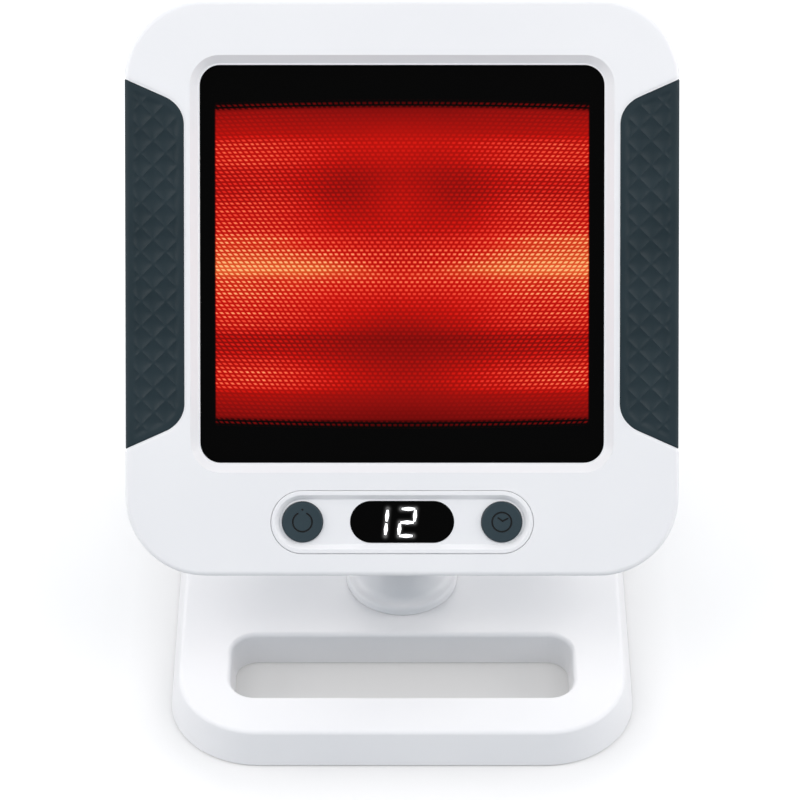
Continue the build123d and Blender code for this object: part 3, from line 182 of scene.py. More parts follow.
# %% White moulded plastic
def white_moulding(name, dark, light, roughness):
    """White injection-moulded plastic with the grain of its mould."""
    material = new_material(name, light, roughness, Specular_IOR_Level=0.24)
    mottle(material, dark, light, scale=9.0)
    vary(material, "Roughness", roughness - 0.04, roughness + 0.05, scale=60.0)
    grain = noise(material, 1400.0, detail=2.0)
    bump(material, grain, strength=0.12, depth_mm=0.05)
    return material


shell_white = white_moulding("shell_white", (0.835, 0.835, 0.845), (0.865, 0.865, 0.87), 0.36)
cover_white = white_moulding("cover_white", (0.72, 0.73, 0.75), (0.76, 0.77, 0.78), 0.5)
print("white finishes:", shell_white.name, cover_white.name)

# %% [markdown]
# ## Rubbers and dark plastics
# The grips and the buttons are a blue-grey soft plastic with a grain less than a tenth of a millimetre deep
# and never of quite one tone. An even, smooth colour would look like paint. A fine noise makes the relief
# instead, and two coarser ones let the tone and the roughness drift. The seals, feet and small mouldings
# inside use the same recipe in colours of their own.

# %% Soft and dark plastics
def soft_plastic(name, dark, light, roughness, grain_mm=0.06, scale=900.0, gloss=0.2):
    """Plastic or rubber with a fine grain, drifting between two near tones."""
    material = new_material(name, light, roughness, Specular_IOR_Level=gloss)
    mottle(material, dark, light, scale=45.0, detail=5.0)
    vary(material, "Roughness", roughness - 0.05, roughness + 0.07, scale=120.0)
    bump(material, noise(material, scale, detail=4.0), strength=0.35, depth_mm=grain_mm)
    return material


grip_slate = soft_plastic("grip_slate", (0.011, 0.022, 0.028), (0.016, 0.029, 0.036), 0.45, gloss=0.15)
button_slate = soft_plastic(
    "button_slate", (0.02, 0.036, 0.045), (0.027, 0.045, 0.055), 0.42, grain_mm=0.03, scale=1600.0
)
foot_black = soft_plastic("foot_black", (0.012, 0.012, 0.012), (0.025, 0.025, 0.025), 0.75)
seal_black = soft_plastic("seal_black", (0.015, 0.015, 0.016), (0.026, 0.026, 0.028), 0.6)
fan_black = soft_plastic("fan_black", (0.014, 0.014, 0.015), (0.022, 0.022, 0.024), 0.4, grain_mm=0.03)
switch_black = soft_plastic("switch_black", (0.02, 0.02, 0.02), (0.03, 0.03, 0.03), 0.5, grain_mm=0.03)
led_body = soft_plastic("led_body", (0.02, 0.02, 0.022), (0.03, 0.03, 0.032), 0.45, grain_mm=0.02)
gland_grey = soft_plastic("gland_grey", (0.62, 0.63, 0.65), (0.7, 0.71, 0.72), 0.45, grain_mm=0.03)
washer_cream = soft_plastic("washer_cream", (0.7, 0.68, 0.62), (0.8, 0.78, 0.72), 0.4, grain_mm=0.02)
relay_blue = soft_plastic("relay_blue", (0.015, 0.06, 0.25), (0.02, 0.08, 0.3), 0.35, grain_mm=0.02)
capacitor_yellow = soft_plastic("capacitor_yellow", (0.6, 0.38, 0.03), (0.72, 0.48, 0.05), 0.4, grain_mm=0.02)
terminal_grey = soft_plastic("terminal_grey", (0.22, 0.23, 0.24), (0.3, 0.31, 0.32), 0.45, grain_mm=0.02)
print("materials so far:", len(bpy.data.materials))

# %% [markdown]
# ## Metals and ceramic
# Inside sit zinc-plated sheet, turned screws, a cast neck core, raw steel ballast and unglazed ceramic. Marks
# on metal could be drawn one by one, but a noise gives them all at once: stretched along one axis it makes
# the long rolling marks of sheet, and left as it is, with a strong relief, the pits of a casting. The
# heater is clear quartz round a coil whose glowing turns are the bands of a wave.

# %% Metals and ceramic
MARK_TONE = 0.78
COIL_WAVE = 250.0


def rolled_metal(name, colour, roughness, stretch=(4.0, 220.0, 220.0)):
    """Metal whose marks all run one way."""
    material = new_material(name, colour, roughness, 1.0)
    along = add(material, "ShaderNodeMapping", {"Vector": place_of(material), "Scale": stretch})
    marks = noise(material, scale=9.0, detail=6.0, vector=along.outputs[0])
    dark = tuple(MARK_TONE * value for value in colour)
    wire(material, "Base Color", tones_of(material, marks, dark, colour))
    bump(material, marks, strength=0.15, depth_mm=0.03)
    vary(material, "Roughness", roughness - 0.07, roughness + 0.1, scale=80.0)
    return material


def cast_surface(name, dark, light, roughness, metallic, scale=500.0):
    """A pitted surface, of metal or ceramic."""
    material = new_material(name, light, roughness, metallic)
    mottle(material, dark, light, scale=70.0, detail=6.0)
    bump(material, noise(material, scale, detail=5.0), strength=0.5, depth_mm=0.12)
    return material


sheet_steel = rolled_metal("sheet_steel", (0.6, 0.61, 0.63), 0.38)
screw_steel = rolled_metal("screw_steel", (0.55, 0.55, 0.56), 0.32, (200.0, 200.0, 30.0))
reflector_bright = rolled_metal("reflector_bright", (0.85, 0.84, 0.83), 0.18)
cast_alloy = cast_surface("cast_alloy", (0.42, 0.43, 0.45), (0.56, 0.57, 0.58), 0.5, 1.0)
ballast_raw = cast_surface("ballast_raw", (0.09, 0.085, 0.08), (0.17, 0.165, 0.16), 0.55, 1.0, 200.0)
transformer_dark = cast_surface("transformer_dark", (0.05, 0.045, 0.04), (0.1, 0.09, 0.08), 0.5, 0.6)
ceramic_white = cast_surface("ceramic_white", (0.7, 0.68, 0.63), (0.8, 0.78, 0.74), 0.65, 0.0, 1200.0)
quartz_clear = new_material("quartz_clear", (0.9, 0.72, 0.62), 0.08, Transmission_Weight=0.85, IOR=1.46)
mottle(quartz_clear, (0.8, 0.55, 0.42), (0.95, 0.8, 0.7), scale=60.0)
bump(quartz_clear, noise(quartz_clear, scale=40.0), strength=0.1, depth_mm=0.1)
coil_hot = new_material("coil_hot", (0.5, 0.2, 0.1), 0.5, 1.0, Emission_Strength=2.0)
coil_place = {"Vector": place_of(coil_hot), "Scale": COIL_WAVE}
turns = add(coil_hot, "ShaderNodeTexWave", coil_place, bands_direction="X").outputs[0]
wire(coil_hot, "Emission Color", ramp(coil_hot, turns, [(0.2, (0.6, 0.06, 0.01)), (0.8, (1.0, 0.4, 0.1))]))
bump(coil_hot, turns, strength=1.0, depth_mm=0.6)
print("materials so far:", len(bpy.data.materials))

# %% [markdown]
# ## Circuit boards
# A board is green lacquer over copper tracks. Tracks drawn one by one would be wasted on a board inside a
# case. A brick pattern with thin, bright, slightly raised joints reads as tracks at the distance from which
# anyone could see them through a vent.

# %% Lacquered board
board_green = new_material("board_green", (0.012, 0.09, 0.03), 0.3)
board_bricks = {"Vector": place_of(board_green), "Scale": 160.0, "Color1": (0.012, 0.085, 0.03, 1)}
board_bricks.update({"Color2": (0.018, 0.12, 0.045, 1), "Mortar": (0.03, 0.17, 0.06, 1), "Mortar Size": 0.03})
tracks = add(board_green, "ShaderNodeTexBrick", board_bricks, offset=0.3)
wire(board_green, "Base Color", tracks.outputs["Color"])
bump(board_green, tracks.outputs["Fac"], strength=0.4, depth_mm=0.05)
print("board finish:", board_green.name)

# %% [markdown]
# ## Patterns that keep to the head
# What lies on the face is placed by the head's own axes, but a texture knows only the object's coordinates,
# which at rest are the world's. One Mapping node turns, moves and scales them into the head's millimetres.
# Each CAD node and each piece has its place in its mesh, so the pattern stays put when the head tilts.

# %% Head axes inside a material
def head_place(material):
    """The point being shaded in the head's own millimetres, split into x, y and z."""
    shift = -(head_axes.inverted().translation)
    turn = Euler((-(pi / 2 - HEAD_LEAN), 0, 0))
    inputs = {"Vector": place_of(material), "Scale": (1 / MM,) * 3, "Rotation": turn, "Location": -shift}
    mapped = add(material, "ShaderNodeMapping", inputs)
    return add(material, "ShaderNodeSeparateXYZ", {0: mapped.outputs[0]}).outputs


# %% [markdown]
# ## Icons on the buttons
# Each button has an icon of shallow grooves, and their floors carry painted shade, darkened to near black.
# The grooves come with the CAD model. The painted shade could be a thin dark piece of its own, but then it
# would have to be cut to fit them. The material darkens whatever lies near the middle of a button and as
# deep as a groove, so it can't miss.

# %% Icons on the buttons
PANEL_DOWN = -105.2
BUTTON_ASIDE = 45.0
ICON_REACH = 7.0
ICON_FADE = 8.0  # in square millimetres
# Painted shade in the icon grooves: how deep it starts, how softly it fades in, and its near-black colour.
SHADE_BELOW = -1.0
SHADE_FADE = 0.05
ICON_GROOVE_SHADE = (0.002, 0.003, 0.004, 1)


def blend_colours(material, share, first, second, **settings):
    """A blend of two colours, which this node keeps in its inputs 6 and 7, with the answer in output 2."""
    inputs = {0: share, 6: first, 7: second}
    return add(material, "ShaderNodeMix", inputs, data_type="RGBA", **settings).outputs[2]


def shade_icon_grooves(material):
    """Paints shade on the floors of the grooves that make a button's icon."""
    x, y, out = head_place(material)
    aside = do(material, "SUBTRACT", do(material, "ABSOLUTE", x), BUTTON_ASIDE)
    apart = do(material, "SUBTRACT", y, PANEL_DOWN)
    squared = do(material, "MULTIPLY_ADD", aside, aside, do(material, "MULTIPLY", apart, apart))
    near = smooth_step(material, squared, ICON_REACH**2, ICON_REACH**2 - ICON_FADE)
    deep = smooth_step(material, out, SHADE_BELOW + SHADE_FADE, SHADE_BELOW - SHADE_FADE)
    # Painted shade: near a button's middle and as deep as a groove floor, the colour turns near black.
    groove_shade = do(material, "MULTIPLY", near, deep)
    tone = shader_of(material).inputs["Base Color"].links[0].from_socket
    wire(material, "Base Color", blend_colours(material, groove_shade, tone, ICON_GROOVE_SHADE))


shade_icon_grooves(button_slate)
print("painted_groove_shade:", button_slate.name)

# %% [markdown]
# ## The glowing window
# Behind the dark red ceramic glass lies a dimpled reflector. Each dimple throws back a dash of the heater's
# light, in staggered rows, and the trough's curve makes bright and dark bands of them. Modelling thousands
# of dimples and a real heater would be slow and noisy. The glass carries the pattern as its own glow instead:
# rows and columns of dashes from plain arithmetic on the head's axes, times a heat that depends on height
# and on distance from the middle. A black printed border frames it, and the glass over both is smooth.

# %% Rows of dashes
LIT_HALF_WIDTH = 84.3
DASH_PITCH = 2.53
DASH_LEAN = 0.7
ROW_PITCH = 1.76
SIDE_FADE = (0.46, 0.14)  # shares of the pitch, from the middle of a dash
END_FADE = (0.45, 0.1)
WANDER = 0.5
DASH_DIFFERENCE = 0.5
ROW_DIFFERENCE = 0.3
WEAKEST_DASH = 0.6


def mix(material, share, first, second):
    """A plain blend of two numbers: the first where share is 0, the second where it is 1."""
    gap = do(material, "SUBTRACT", second, first)
    return do(material, "MULTIPLY_ADD", gap, share, first)


def dashes(material, x, y):
    """Strong inside a dash, 0 between dashes: staggered rows whose dashes lean toward the sides."""
    row_place = do(material, "DIVIDE", y, ROW_PITCH)
    row = do(material, "FLOOR", row_place)
    within = do(material, "SUBTRACT", do(material, "FRACT", row_place), 0.5)
    odd = do(material, "MULTIPLY", do(material, "PINGPONG", row, 1.0), 0.5)
    wander = do(material, "MULTIPLY_ADD", noise(material, scale=120.0, detail=1.0), WANDER, odd)
    lean = do(material, "MULTIPLY", do(material, "MULTIPLY", x, -DASH_LEAN / LIT_HALF_WIDTH), within)
    column_place = do(material, "MULTIPLY_ADD", x, 1 / DASH_PITCH, do(material, "ADD", wander, lean))
    across = do(material, "ABSOLUTE", do(material, "SUBTRACT", do(material, "FRACT", column_place), 0.5))
    along = do(material, "ABSOLUTE", within)
    wide = smooth_step(material, across, *SIDE_FADE)
    dash = do(material, "MULTIPLY", wide, smooth_step(material, along, *END_FADE))
    by_row = add(material, "ShaderNodeTexWhiteNoise", {"W": row}, noise_dimensions="1D").outputs["Value"]
    by_row = do(material, "MULTIPLY", by_row, ROW_DIFFERENCE)
    by_dash = noise(material, scale=420.0, detail=1.0)
    strength = do(material, "MULTIPLY_ADD", by_dash, DASH_DIFFERENCE, by_row)
    return do(material, "MULTIPLY", dash, do(material, "ADD", strength, WEAKEST_DASH))


def spot(material, x, y, place, size):
    """1 at a place and fading round it, the same on both sides of the middle."""
    aside = do(material, "DIVIDE", do(material, "SUBTRACT", do(material, "ABSOLUTE", x), place[0]), size[0])
    apart = do(material, "DIVIDE", do(material, "SUBTRACT", y, place[1]), size[1])
    squared = do(material, "MULTIPLY_ADD", aside, aside, do(material, "MULTIPLY", apart, apart))
    return do(material, "EXPONENT", do(material, "MULTIPLY", squared, -1.0))


print("dashes in a row:", round(2 * LIT_HALF_WIDTH / DASH_PITCH))

# %% [markdown]
# ## Bands of heat
# The trough throws the heater's light forward in bands that run across the window: a pale, hottest one just
# below the middle, dark ones above and below it, and a cool spot at each side of the upper middle. Each
# band is a step of height and heat. Two lists of steps are enough, one for the middle and one for the
# sides, because in between the bands change smoothly from one to the other.

# %% Bands of heat
BAND_REACH = 72.0
MIDDLE_BANDS = [(-72, 0.25), (-58, 0.44), (-52, 0.51), (-33, 0.36), (-16, 0.64), (-5, 0.86)]
MIDDLE_BANDS += [(8, 0.73), (14, 0.61), (40, 0.54), (53, 0.64), (59, 0.53), (72, 0.3)]
SIDE_BANDS = [(-72, 0.3), (-58, 0.5), (-55, 0.72), (-49, 0.78), (-38, 0.53), (-32, 0.51)]
SIDE_BANDS += [(-29, 0.69), (-24, 0.78), (-17, 0.82), (-14, 0.86), (-7, 0.885), (-5, 0.98)]
SIDE_BANDS += [(-2, 1.2), (1, 1.03), (4, 0.97), (6, 0.925), (12.5, 0.91), (14, 0.8), (18, 0.775)]
SIDE_BANDS += [(23, 0.75), (32, 0.62), (42, 0.64), (47, 0.77), (54, 0.71), (58, 0.53), (72, 0.37)]
SIDES_BEGIN = 72.0
COOL_SPOT = (26, 30)
COOL_SPOT_SIZE = (20, 16)
COOL_SPOT_DEPTH = 0.13
CALM_MIDDLE = 5.0
CLEAR_SIDES = 70.0
HOT_BAND_HALF = 16.0
CALM_ENDS = (60.0, 53.0)
END_CONTRAST = 0.3
LEAST_CONTRAST = 0.3
MOST_CONTRAST = 0.8


def banded_heat(material, x, y):
    """Heat by height, with one set of bands for the middle and one for the sides."""
    inputs = {"Value": y, "From Min": -BAND_REACH, "From Max": BAND_REACH}
    height = add(material, "ShaderNodeMapRange", inputs).outputs[0]
    profiles = []
    for bands in (MIDDLE_BANDS, SIDE_BANDS):
        stops = [((up + BAND_REACH) / (2 * BAND_REACH), float(heat)) for up, heat in bands]
        profiles.append(ramp(material, height, stops))
    sideways = smooth_step(material, do(material, "ABSOLUTE", x), 0.0, SIDES_BEGIN)
    heat = mix(material, sideways, *profiles)
    cool = spot(material, x, y, COOL_SPOT, COOL_SPOT_SIZE)
    return do(material, "MULTIPLY_ADD", cool, -COOL_SPOT_DEPTH, heat)


def dash_contrast(material, x, y):
    """How far the dashes stand out: most at the sides and in the hottest band, least at top and bottom."""
    aside = smooth_step(material, do(material, "ABSOLUTE", x), CALM_MIDDLE, CLEAR_SIDES)
    squared = do(material, "MULTIPLY", y, y)
    in_band = do(material, "EXPONENT", do(material, "MULTIPLY", squared, -1 / HOT_BAND_HALF**2))
    most = do(material, "MAXIMUM", aside, in_band)
    inside = smooth_step(material, do(material, "ABSOLUTE", y), *CALM_ENDS)
    by_place = mix(material, most, LEAST_CONTRAST, MOST_CONTRAST)
    return do(material, "MULTIPLY", mix(material, inside, END_CONTRAST, 1.0), by_place)


print("steps of heat:", len(MIDDLE_BANDS), "in the middle,", len(SIDE_BANDS), "at the sides")

# %% [markdown]
# ## Glow through ceramic glass
# The glass holds back most of the heater's light and lets the red through, so cooler places look deep red
# and the hottest ones orange. Each tone could be mixed by hand, but one ramp from heat to colour keeps them
# in step, with the hottest band paled a little more. Dashes raise and lower the heat round its mean, so
# they hardly change how bright the window is. The lit field ends softly at its sides, and at its top and
# bottom in a last few dashes.

# %% Glow through ceramic glass
WINDOW_UP = 11.1
HOTTEST = 1.4
DASH_SHARE = 0.38
ROW_BOW = 0.02
CLOUD_DEPTH = 0.2
LIT_SIDES = (LIT_HALF_WIDTH + 0.4, LIT_HALF_WIDTH - 0.5)
LIT_ENDS = (70.4, 68.6)
DOTTED_ENDS = (73.0, 70.8)
DOTTED_SHARE = 0.8
GLASS_FRONT = (-7.5, -6.5)
GLOW_TONES = [(0.0, (0.0, 0.0, 0.0)), (0.2, (0.07, 0.0, 0.0)), (0.4, (0.27, 0.003, 0.002))]
GLOW_TONES += [(0.6, (0.52, 0.005, 0.002)), (0.75, (0.7, 0.0095, 0.0045)), (0.84, (0.78, 0.027, 0.017))]
GLOW_TONES += [(1.0, (0.86, 0.065, 0.032)), (1.15, (0.94, 0.17, 0.075)), (1.35, (1.0, 0.45, 0.19))]
PALE_FROM = (0.8, 1.08)
PALE_HEAT = (0.0, 0.075, 0.013, 1)


def lit_field(material, x, y, out, dash):
    """1 where the glass is lit from behind, 0 on its black border."""
    sides = smooth_step(material, do(material, "ABSOLUTE", x), *LIT_SIDES)
    from_middle = do(material, "ABSOLUTE", y)
    solid = smooth_step(material, from_middle, *LIT_ENDS)
    last = smooth_step(material, from_middle, *DOTTED_ENDS)
    dotted = do(material, "MULTIPLY", last, do(material, "MULTIPLY", dash, DOTTED_SHARE))
    lit = do(material, "MULTIPLY", sides, do(material, "MAXIMUM", solid, dotted))
    return do(material, "MULTIPLY", lit, smooth_step(material, out, *GLASS_FRONT))


def glowing_glass():
    """Black glass that shows the lit reflector as a glow of its own."""
    material = new_material(
        "glowing_glass", (0.001, 0.001, 0.001), 0.06, Specular_IOR_Level=0.02, Emission_Strength=1.0
    )
    x, up, out = head_place(material)
    y = do(material, "SUBTRACT", up, WINDOW_UP)
    aside = do(material, "DIVIDE", x, LIT_HALF_WIDTH)
    # The rows bow away from the middle: taller in the centre than at the sides.
    bow = do(material, "MULTIPLY_ADD", do(material, "MULTIPLY", aside, aside), ROW_BOW, 1 - ROW_BOW)
    y = do(material, "MULTIPLY", y, bow)
    dash = dashes(material, x, y)
    cloud = noise(material, scale=26.0, detail=4.0)
    cloud = do(material, "MULTIPLY_ADD", cloud, CLOUD_DEPTH, 1 - CLOUD_DEPTH / 2)
    heat = do(material, "MULTIPLY", banded_heat(material, x, y), cloud)
    above_mean = do(material, "SUBTRACT", dash, DASH_SHARE)
    stand_out = do(material, "MULTIPLY", dash_contrast(material, x, y), above_mean)
    lit = lit_field(material, x, y, out, dash)
    level = do(material, "MULTIPLY", heat, do(material, "ADD", stand_out, 1.0))
    level = do(material, "MULTIPLY", do(material, "MULTIPLY", level, lit), 1 / HOTTEST)
    tones = [(place / HOTTEST, colour) for place, colour in GLOW_TONES]
    hot = do(material, "MULTIPLY", smooth_step(material, heat, *PALE_FROM), lit)
    glow = blend_colours(material, hot, ramp(material, level, tones), PALE_HEAT, blend_type="ADD")
    wire(material, "Emission Color", glow)
    vary(material, "Roughness", 0.04, 0.09, scale=30.0)
    return material


window_glow = glowing_glass()
print("nodes in the glow:", len(window_glow.node_tree.nodes))

# %% [markdown]
# ## The display
# Two digits shine through a black window: white light-emitting bars, each digit slanted. The bars are real
# thin pieces, so they hold their shape at any distance. The soft halo round them is light scattered inside
# the window, so it belongs to the window's material, which fades with the distance from the nearest bar.

# %% Where the bars are
DIGIT_HEIGHT = 12.2
DIGIT_HALF = 3.25
DIGIT_UP = PANEL_DOWN - 0.2
SLANT = tan(radians(5.5))
BAR_WIDTH = 1.75
DIGIT_CENTRES = {"one": -10.3, "two": 2.28}
DIGIT_BARS = {"one": "bc", "two": "abged"}


def bar_ends(bar, centre):
    """Both ends of one bar of a seven-bar digit, on the head's axes."""
    half, tall = DIGIT_HALF, DIGIT_HEIGHT / 2
    corners = {
        "a": ((-half, tall), (half, tall)),
        "b": ((half, tall), (half, 0)),
        "c": ((half, 0), (half, -tall)),
        "d": ((-half, -tall), (half, -tall)),
        "e": ((-half, 0), (-half, -tall)),
        "f": ((-half, tall), (-half, 0)),
        "g": ((-half, 0), (half, 0)),
    }
    return [Vector((centre + x + SLANT * y, DIGIT_UP + y)) for x, y in corners[bar]]


lit_bars = [bar_ends(bar, DIGIT_CENTRES[digit]) for digit in DIGIT_BARS for bar in DIGIT_BARS[digit]]
print("lit bars:", len(lit_bars))


# %% Black window with a halo
HALO_START = 0.4 * BAR_WIDTH
HALO_REACH = 1.6
HALO_TONES = [(0.0, 0.14), (0.3, 0.035), (0.6, 0.008), (1.0, 0.0)]


def halo_window():
    """Black plastic with a soft glow round each lit bar."""
    material = new_material(
        "display_black", (0.001, 0.001, 0.001), 0.12, Specular_IOR_Level=0.02, Emission_Strength=0.8
    )
    x, y, _ = head_place(material)
    nearest = None
    for start, end in lit_bars:
        span = end - start
        from_x = do(material, "SUBTRACT", x, start.x)
        from_y = do(material, "SUBTRACT", y, start.y)
        dot = do(material, "MULTIPLY_ADD", from_y, span.y, do(material, "MULTIPLY", from_x, span.x))
        share = do(material, "DIVIDE", dot, span.length_squared)
        along = add(material, "ShaderNodeClamp", {0: share}).outputs[0]
        gap_x = do(material, "SUBTRACT", from_x, do(material, "MULTIPLY", along, span.x))
        gap_y = do(material, "SUBTRACT", from_y, do(material, "MULTIPLY", along, span.y))
        squared = do(material, "MULTIPLY_ADD", gap_x, gap_x, do(material, "MULTIPLY", gap_y, gap_y))
        nearest = squared if nearest is None else do(material, "MINIMUM", nearest, squared)
    distance = do(material, "SQRT", nearest)
    past_bar = do(material, "DIVIDE", do(material, "SUBTRACT", distance, HALO_START), HALO_REACH)
    wire(material, "Emission Color", ramp(material, past_bar, HALO_TONES))
    vary(material, "Roughness", 0.08, 0.16, scale=50.0)
    return material


display_black = halo_window()
led_white = new_material("led_white", (0.9, 0.9, 0.9), 0.4, Emission_Strength=1.0)
led_cloud = noise(led_white, scale=300.0, detail=2.0)
wire(led_white, "Emission Color", tones_of(led_white, led_cloud, (0.93, 0.95, 1.0), (1.0, 1.0, 1.0)))
print("materials so far:", len(bpy.data.materials))

# %% [markdown]
# ## Dressing the frame
# Every CAD node belongs to a material slot that the record names. Finishes could be given node by node, but
# slots are fewer and say what a piece is made of, so finishes are handed out by slot. Only the plate under
# the base differs from its slot, because it is a duller white.

# %% Finishes by slot
slot_finish = {
    "white_plastic": shell_white,
    "grip_rubber": grip_slate,
    "window_glass": window_glow,
    "gasket_silicone": seal_black,
    "sheet_steel": sheet_steel,
    "screw_steel": screw_steel,
    "reflector_aluminium": reflector_bright,
    "quartz": quartz_clear,
    "coil_wire": coil_hot,
    "ceramic_white": ceramic_white,
    "display_black": display_black,
    "button_slate": button_slate,
    "board_green": board_green,
    "led_block": led_body,
    "switch_black": switch_black,
    "fan_black": fan_black,
    "gland_plastic": gland_grey,
    "relay_blue": relay_blue,
    "capacitor_yellow": capacitor_yellow,
    "transformer_core": transformer_dark,
    "terminal_grey": terminal_grey,
    "ballast_steel": ballast_raw,
    "foot_rubber": foot_black,
    "cast_alloy": cast_alloy,
    "washer_nylon": washer_cream,
}
node_slot = {part["node"]: part["material_slot"] for part in frame["record"]["subparts"]}
for name, slot in node_slot.items():
    for holder in frame["nodes"][name].material_slots:
        holder.material = slot_finish[slot]
for holder in frame["nodes"]["base_plate"].material_slots:
    holder.material = cover_white
print("dressed nodes:", len(node_slot))

# %% [markdown]
# ## Making a piece
# A new piece is shaped in a bmesh, in millimetres on axes that suit it, and moved to the world at the end, so
# that its object sits at the origin like a CAD node. Soft shading is limited by angle: faces that meet
# gently are shaded as one surface, sharp edges stay sharp.

# %% From bmesh to piece
def finish_piece(name, mesh_maker, matrix, body, finish, sharp_deg=32.0):
    """Turns a bmesh into a piece that rides on a CAD body."""
    bmesh.ops.remove_doubles(mesh_maker, verts=mesh_maker.verts, dist=1e-4)
    bmesh.ops.recalc_face_normals(mesh_maker, faces=mesh_maker.faces)
    bmesh.ops.transform(mesh_maker, matrix=matrix, verts=mesh_maker.verts)
    if matrix.determinant() < 0:
        bmesh.ops.reverse_faces(mesh_maker, faces=mesh_maker.faces)
    for face in mesh_maker.faces:
        face.smooth = True
    for edge in mesh_maker.edges:
        edge.smooth = edge.is_manifold and edge.calc_face_angle(0.0) < radians(sharp_deg)
    mesh = bpy.data.meshes.new(name)
    mesh_maker.to_mesh(mesh)
    mesh_maker.free()
    mesh.materials.append(finish)
    piece = bpy.data.objects.new(name, mesh)
    bpy.context.scene.collection.objects.link(piece)
    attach(piece, body)
    print(name, "faces:", len(mesh.polygons))
    return piece


# %% [markdown]
# ## Quilted grips
# Each grip is a soft cover that wraps from the face round the side of the head, patterned with small dished
# squares that stand on their points. A grid whose lines run along the ridges is the easy start: the grid is
# turned by 45 degrees, every square gets the same few faces, and the height of a point depends only on its
# place within its square. The flat sheet is cut along each line of its outline and twice just inside it,
# where its edge rolls over, then wrapped round the head's edge and given thickness.

# %% The grip's outline on its flat sheet
GRIP_INNER = 98.0
HEAD_HALF = 125.0
GRIP_SINK = 0.25
EDGE_ROUND = 1.95
GRIP_BACK = 32.8
GRIP_HALF_HEIGHT = 83.25
GRIP_SLOPE = radians(23.9)
GRIP_CORNER = 13.3
CORNER_STEPS = 9
flat_run = HEAD_HALF - GRIP_SINK - EDGE_ROUND - GRIP_INNER
bend_run = EDGE_ROUND * pi / 2
side_run = GRIP_BACK - GRIP_SINK - EDGE_ROUND
sheet_run = flat_run + bend_run + side_run
face_run = HEAD_HALF - GRIP_INNER


def outline_cuts():
    """Lines that bound the upper half of the sheet: a point on each, and its outward direction."""
    inner_half = GRIP_HALF_HEIGHT - face_run * tan(GRIP_SLOPE)
    slant = Vector((-sin(GRIP_SLOPE), cos(GRIP_SLOPE)))
    cuts = [(Vector((0, 0)), Vector((-1, 0))), (Vector((sheet_run, 0)), Vector((1, 0)))]
    cuts += [(Vector((0, inner_half)), slant), (Vector((0, GRIP_HALF_HEIGHT)), Vector((0, 1)))]
    turn = pi / 2 - GRIP_SLOPE
    set_back = GRIP_CORNER * tan(turn / 2)
    centre = Vector((GRIP_CORNER, inner_half - set_back))
    for number in range(1, CORNER_STEPS):
        angle = pi - turn * number / CORNER_STEPS
        outward = Vector((cos(angle), sin(angle)))
        cuts.append((centre + GRIP_CORNER * outward, outward))
    return cuts


cuts = outline_cuts()
print("sheet of", round(sheet_run, 1), "by", 2 * GRIP_HALF_HEIGHT, "mm, cuts:", len(cuts))

# %% The quilt's height
QUILT_DIAGONAL = 11.1
QUILT_CENTRE = 112.0 - GRIP_INNER
DISH_DEPTH = 0.8
BOWL_SHARE = 0.68
PLAIN_BORDER = 2.4
FACE_BEND_BORDER = 1.2
SIDE_BEND_BORDER = 2.0
FADE_RUN = 2.2
EDGE_ROLL = 0.7
ROLL_DROP = 0.3


def quilt_height(run, up):
    """Height of the sheet above its plain level, in millimetres: square dishes between sharp ridges."""
    first = (run - QUILT_CENTRE + up) / QUILT_DIAGONAL
    second = (run - QUILT_CENTRE - up) / QUILT_DIAGONAL
    dish = 1
    for across in (first, second):
        from_middle = 1 - 2 * abs(across - round(across))
        dish *= 1 - BOWL_SHARE * from_middle**2 - (1 - BOWL_SHARE) * from_middle**8
    margin = min((point - Vector((run, abs(up)))).dot(outward) for point, outward in cuts)
    from_bend = max(flat_run - FACE_BEND_BORDER - run, run - flat_run - bend_run - SIDE_BEND_BORDER)
    fade = min(max(min(margin - PLAIN_BORDER, from_bend) / FADE_RUN, 0.0), 1.0)
    fade = fade * fade * (3 - 2 * fade)
    rolled = min(max(margin / EDGE_ROLL, 0.0), 1.0)
    return -fade * dish * DISH_DEPTH - ROLL_DROP * (1 - rolled) ** 2


deepest = quilt_height(QUILT_CENTRE, QUILT_DIAGONAL / 2)
print("depth of a dish in mm:", round(-deepest, 2))

# %% Wrap the sheet
def wrap(run, up, height):
    """A point of the flat sheet, carried to the right side of the head and lifted by height."""
    if run < flat_run:
        return Vector((GRIP_INNER + run, WINDOW_UP + up, -GRIP_SINK + height))
    if run < flat_run + bend_run:
        angle = (run - flat_run) / EDGE_ROUND
        radius = EDGE_ROUND + height
        centre = Vector((HEAD_HALF - GRIP_SINK - EDGE_ROUND, WINDOW_UP + up, -GRIP_SINK - EDGE_ROUND))
        return centre + Vector((radius * sin(angle), 0, radius * cos(angle)))
    depth = GRIP_SINK + EDGE_ROUND + run - flat_run - bend_run
    return Vector((HEAD_HALF - GRIP_SINK + height, WINDOW_UP + up, -depth))


# %% Cut the sheet
QUILT_CELLS = 24
CELL_FACES = 12
ROLL_CUT = 0.25
GRIP_WALL = 1.4


def cut_sheet(sheet, place, outward, clear=False):
    """Cuts the flat sheet along a line, and with clear drops what lies beyond it."""
    everything = sheet.verts[:] + sheet.edges[:] + sheet.faces[:]
    bmesh.ops.bisect_plane(
        sheet,
        geom=everything,
        dist=1e-5,
        plane_co=(*place, 0),
        plane_no=(*outward, 0),
        clear_outer=clear,
    )


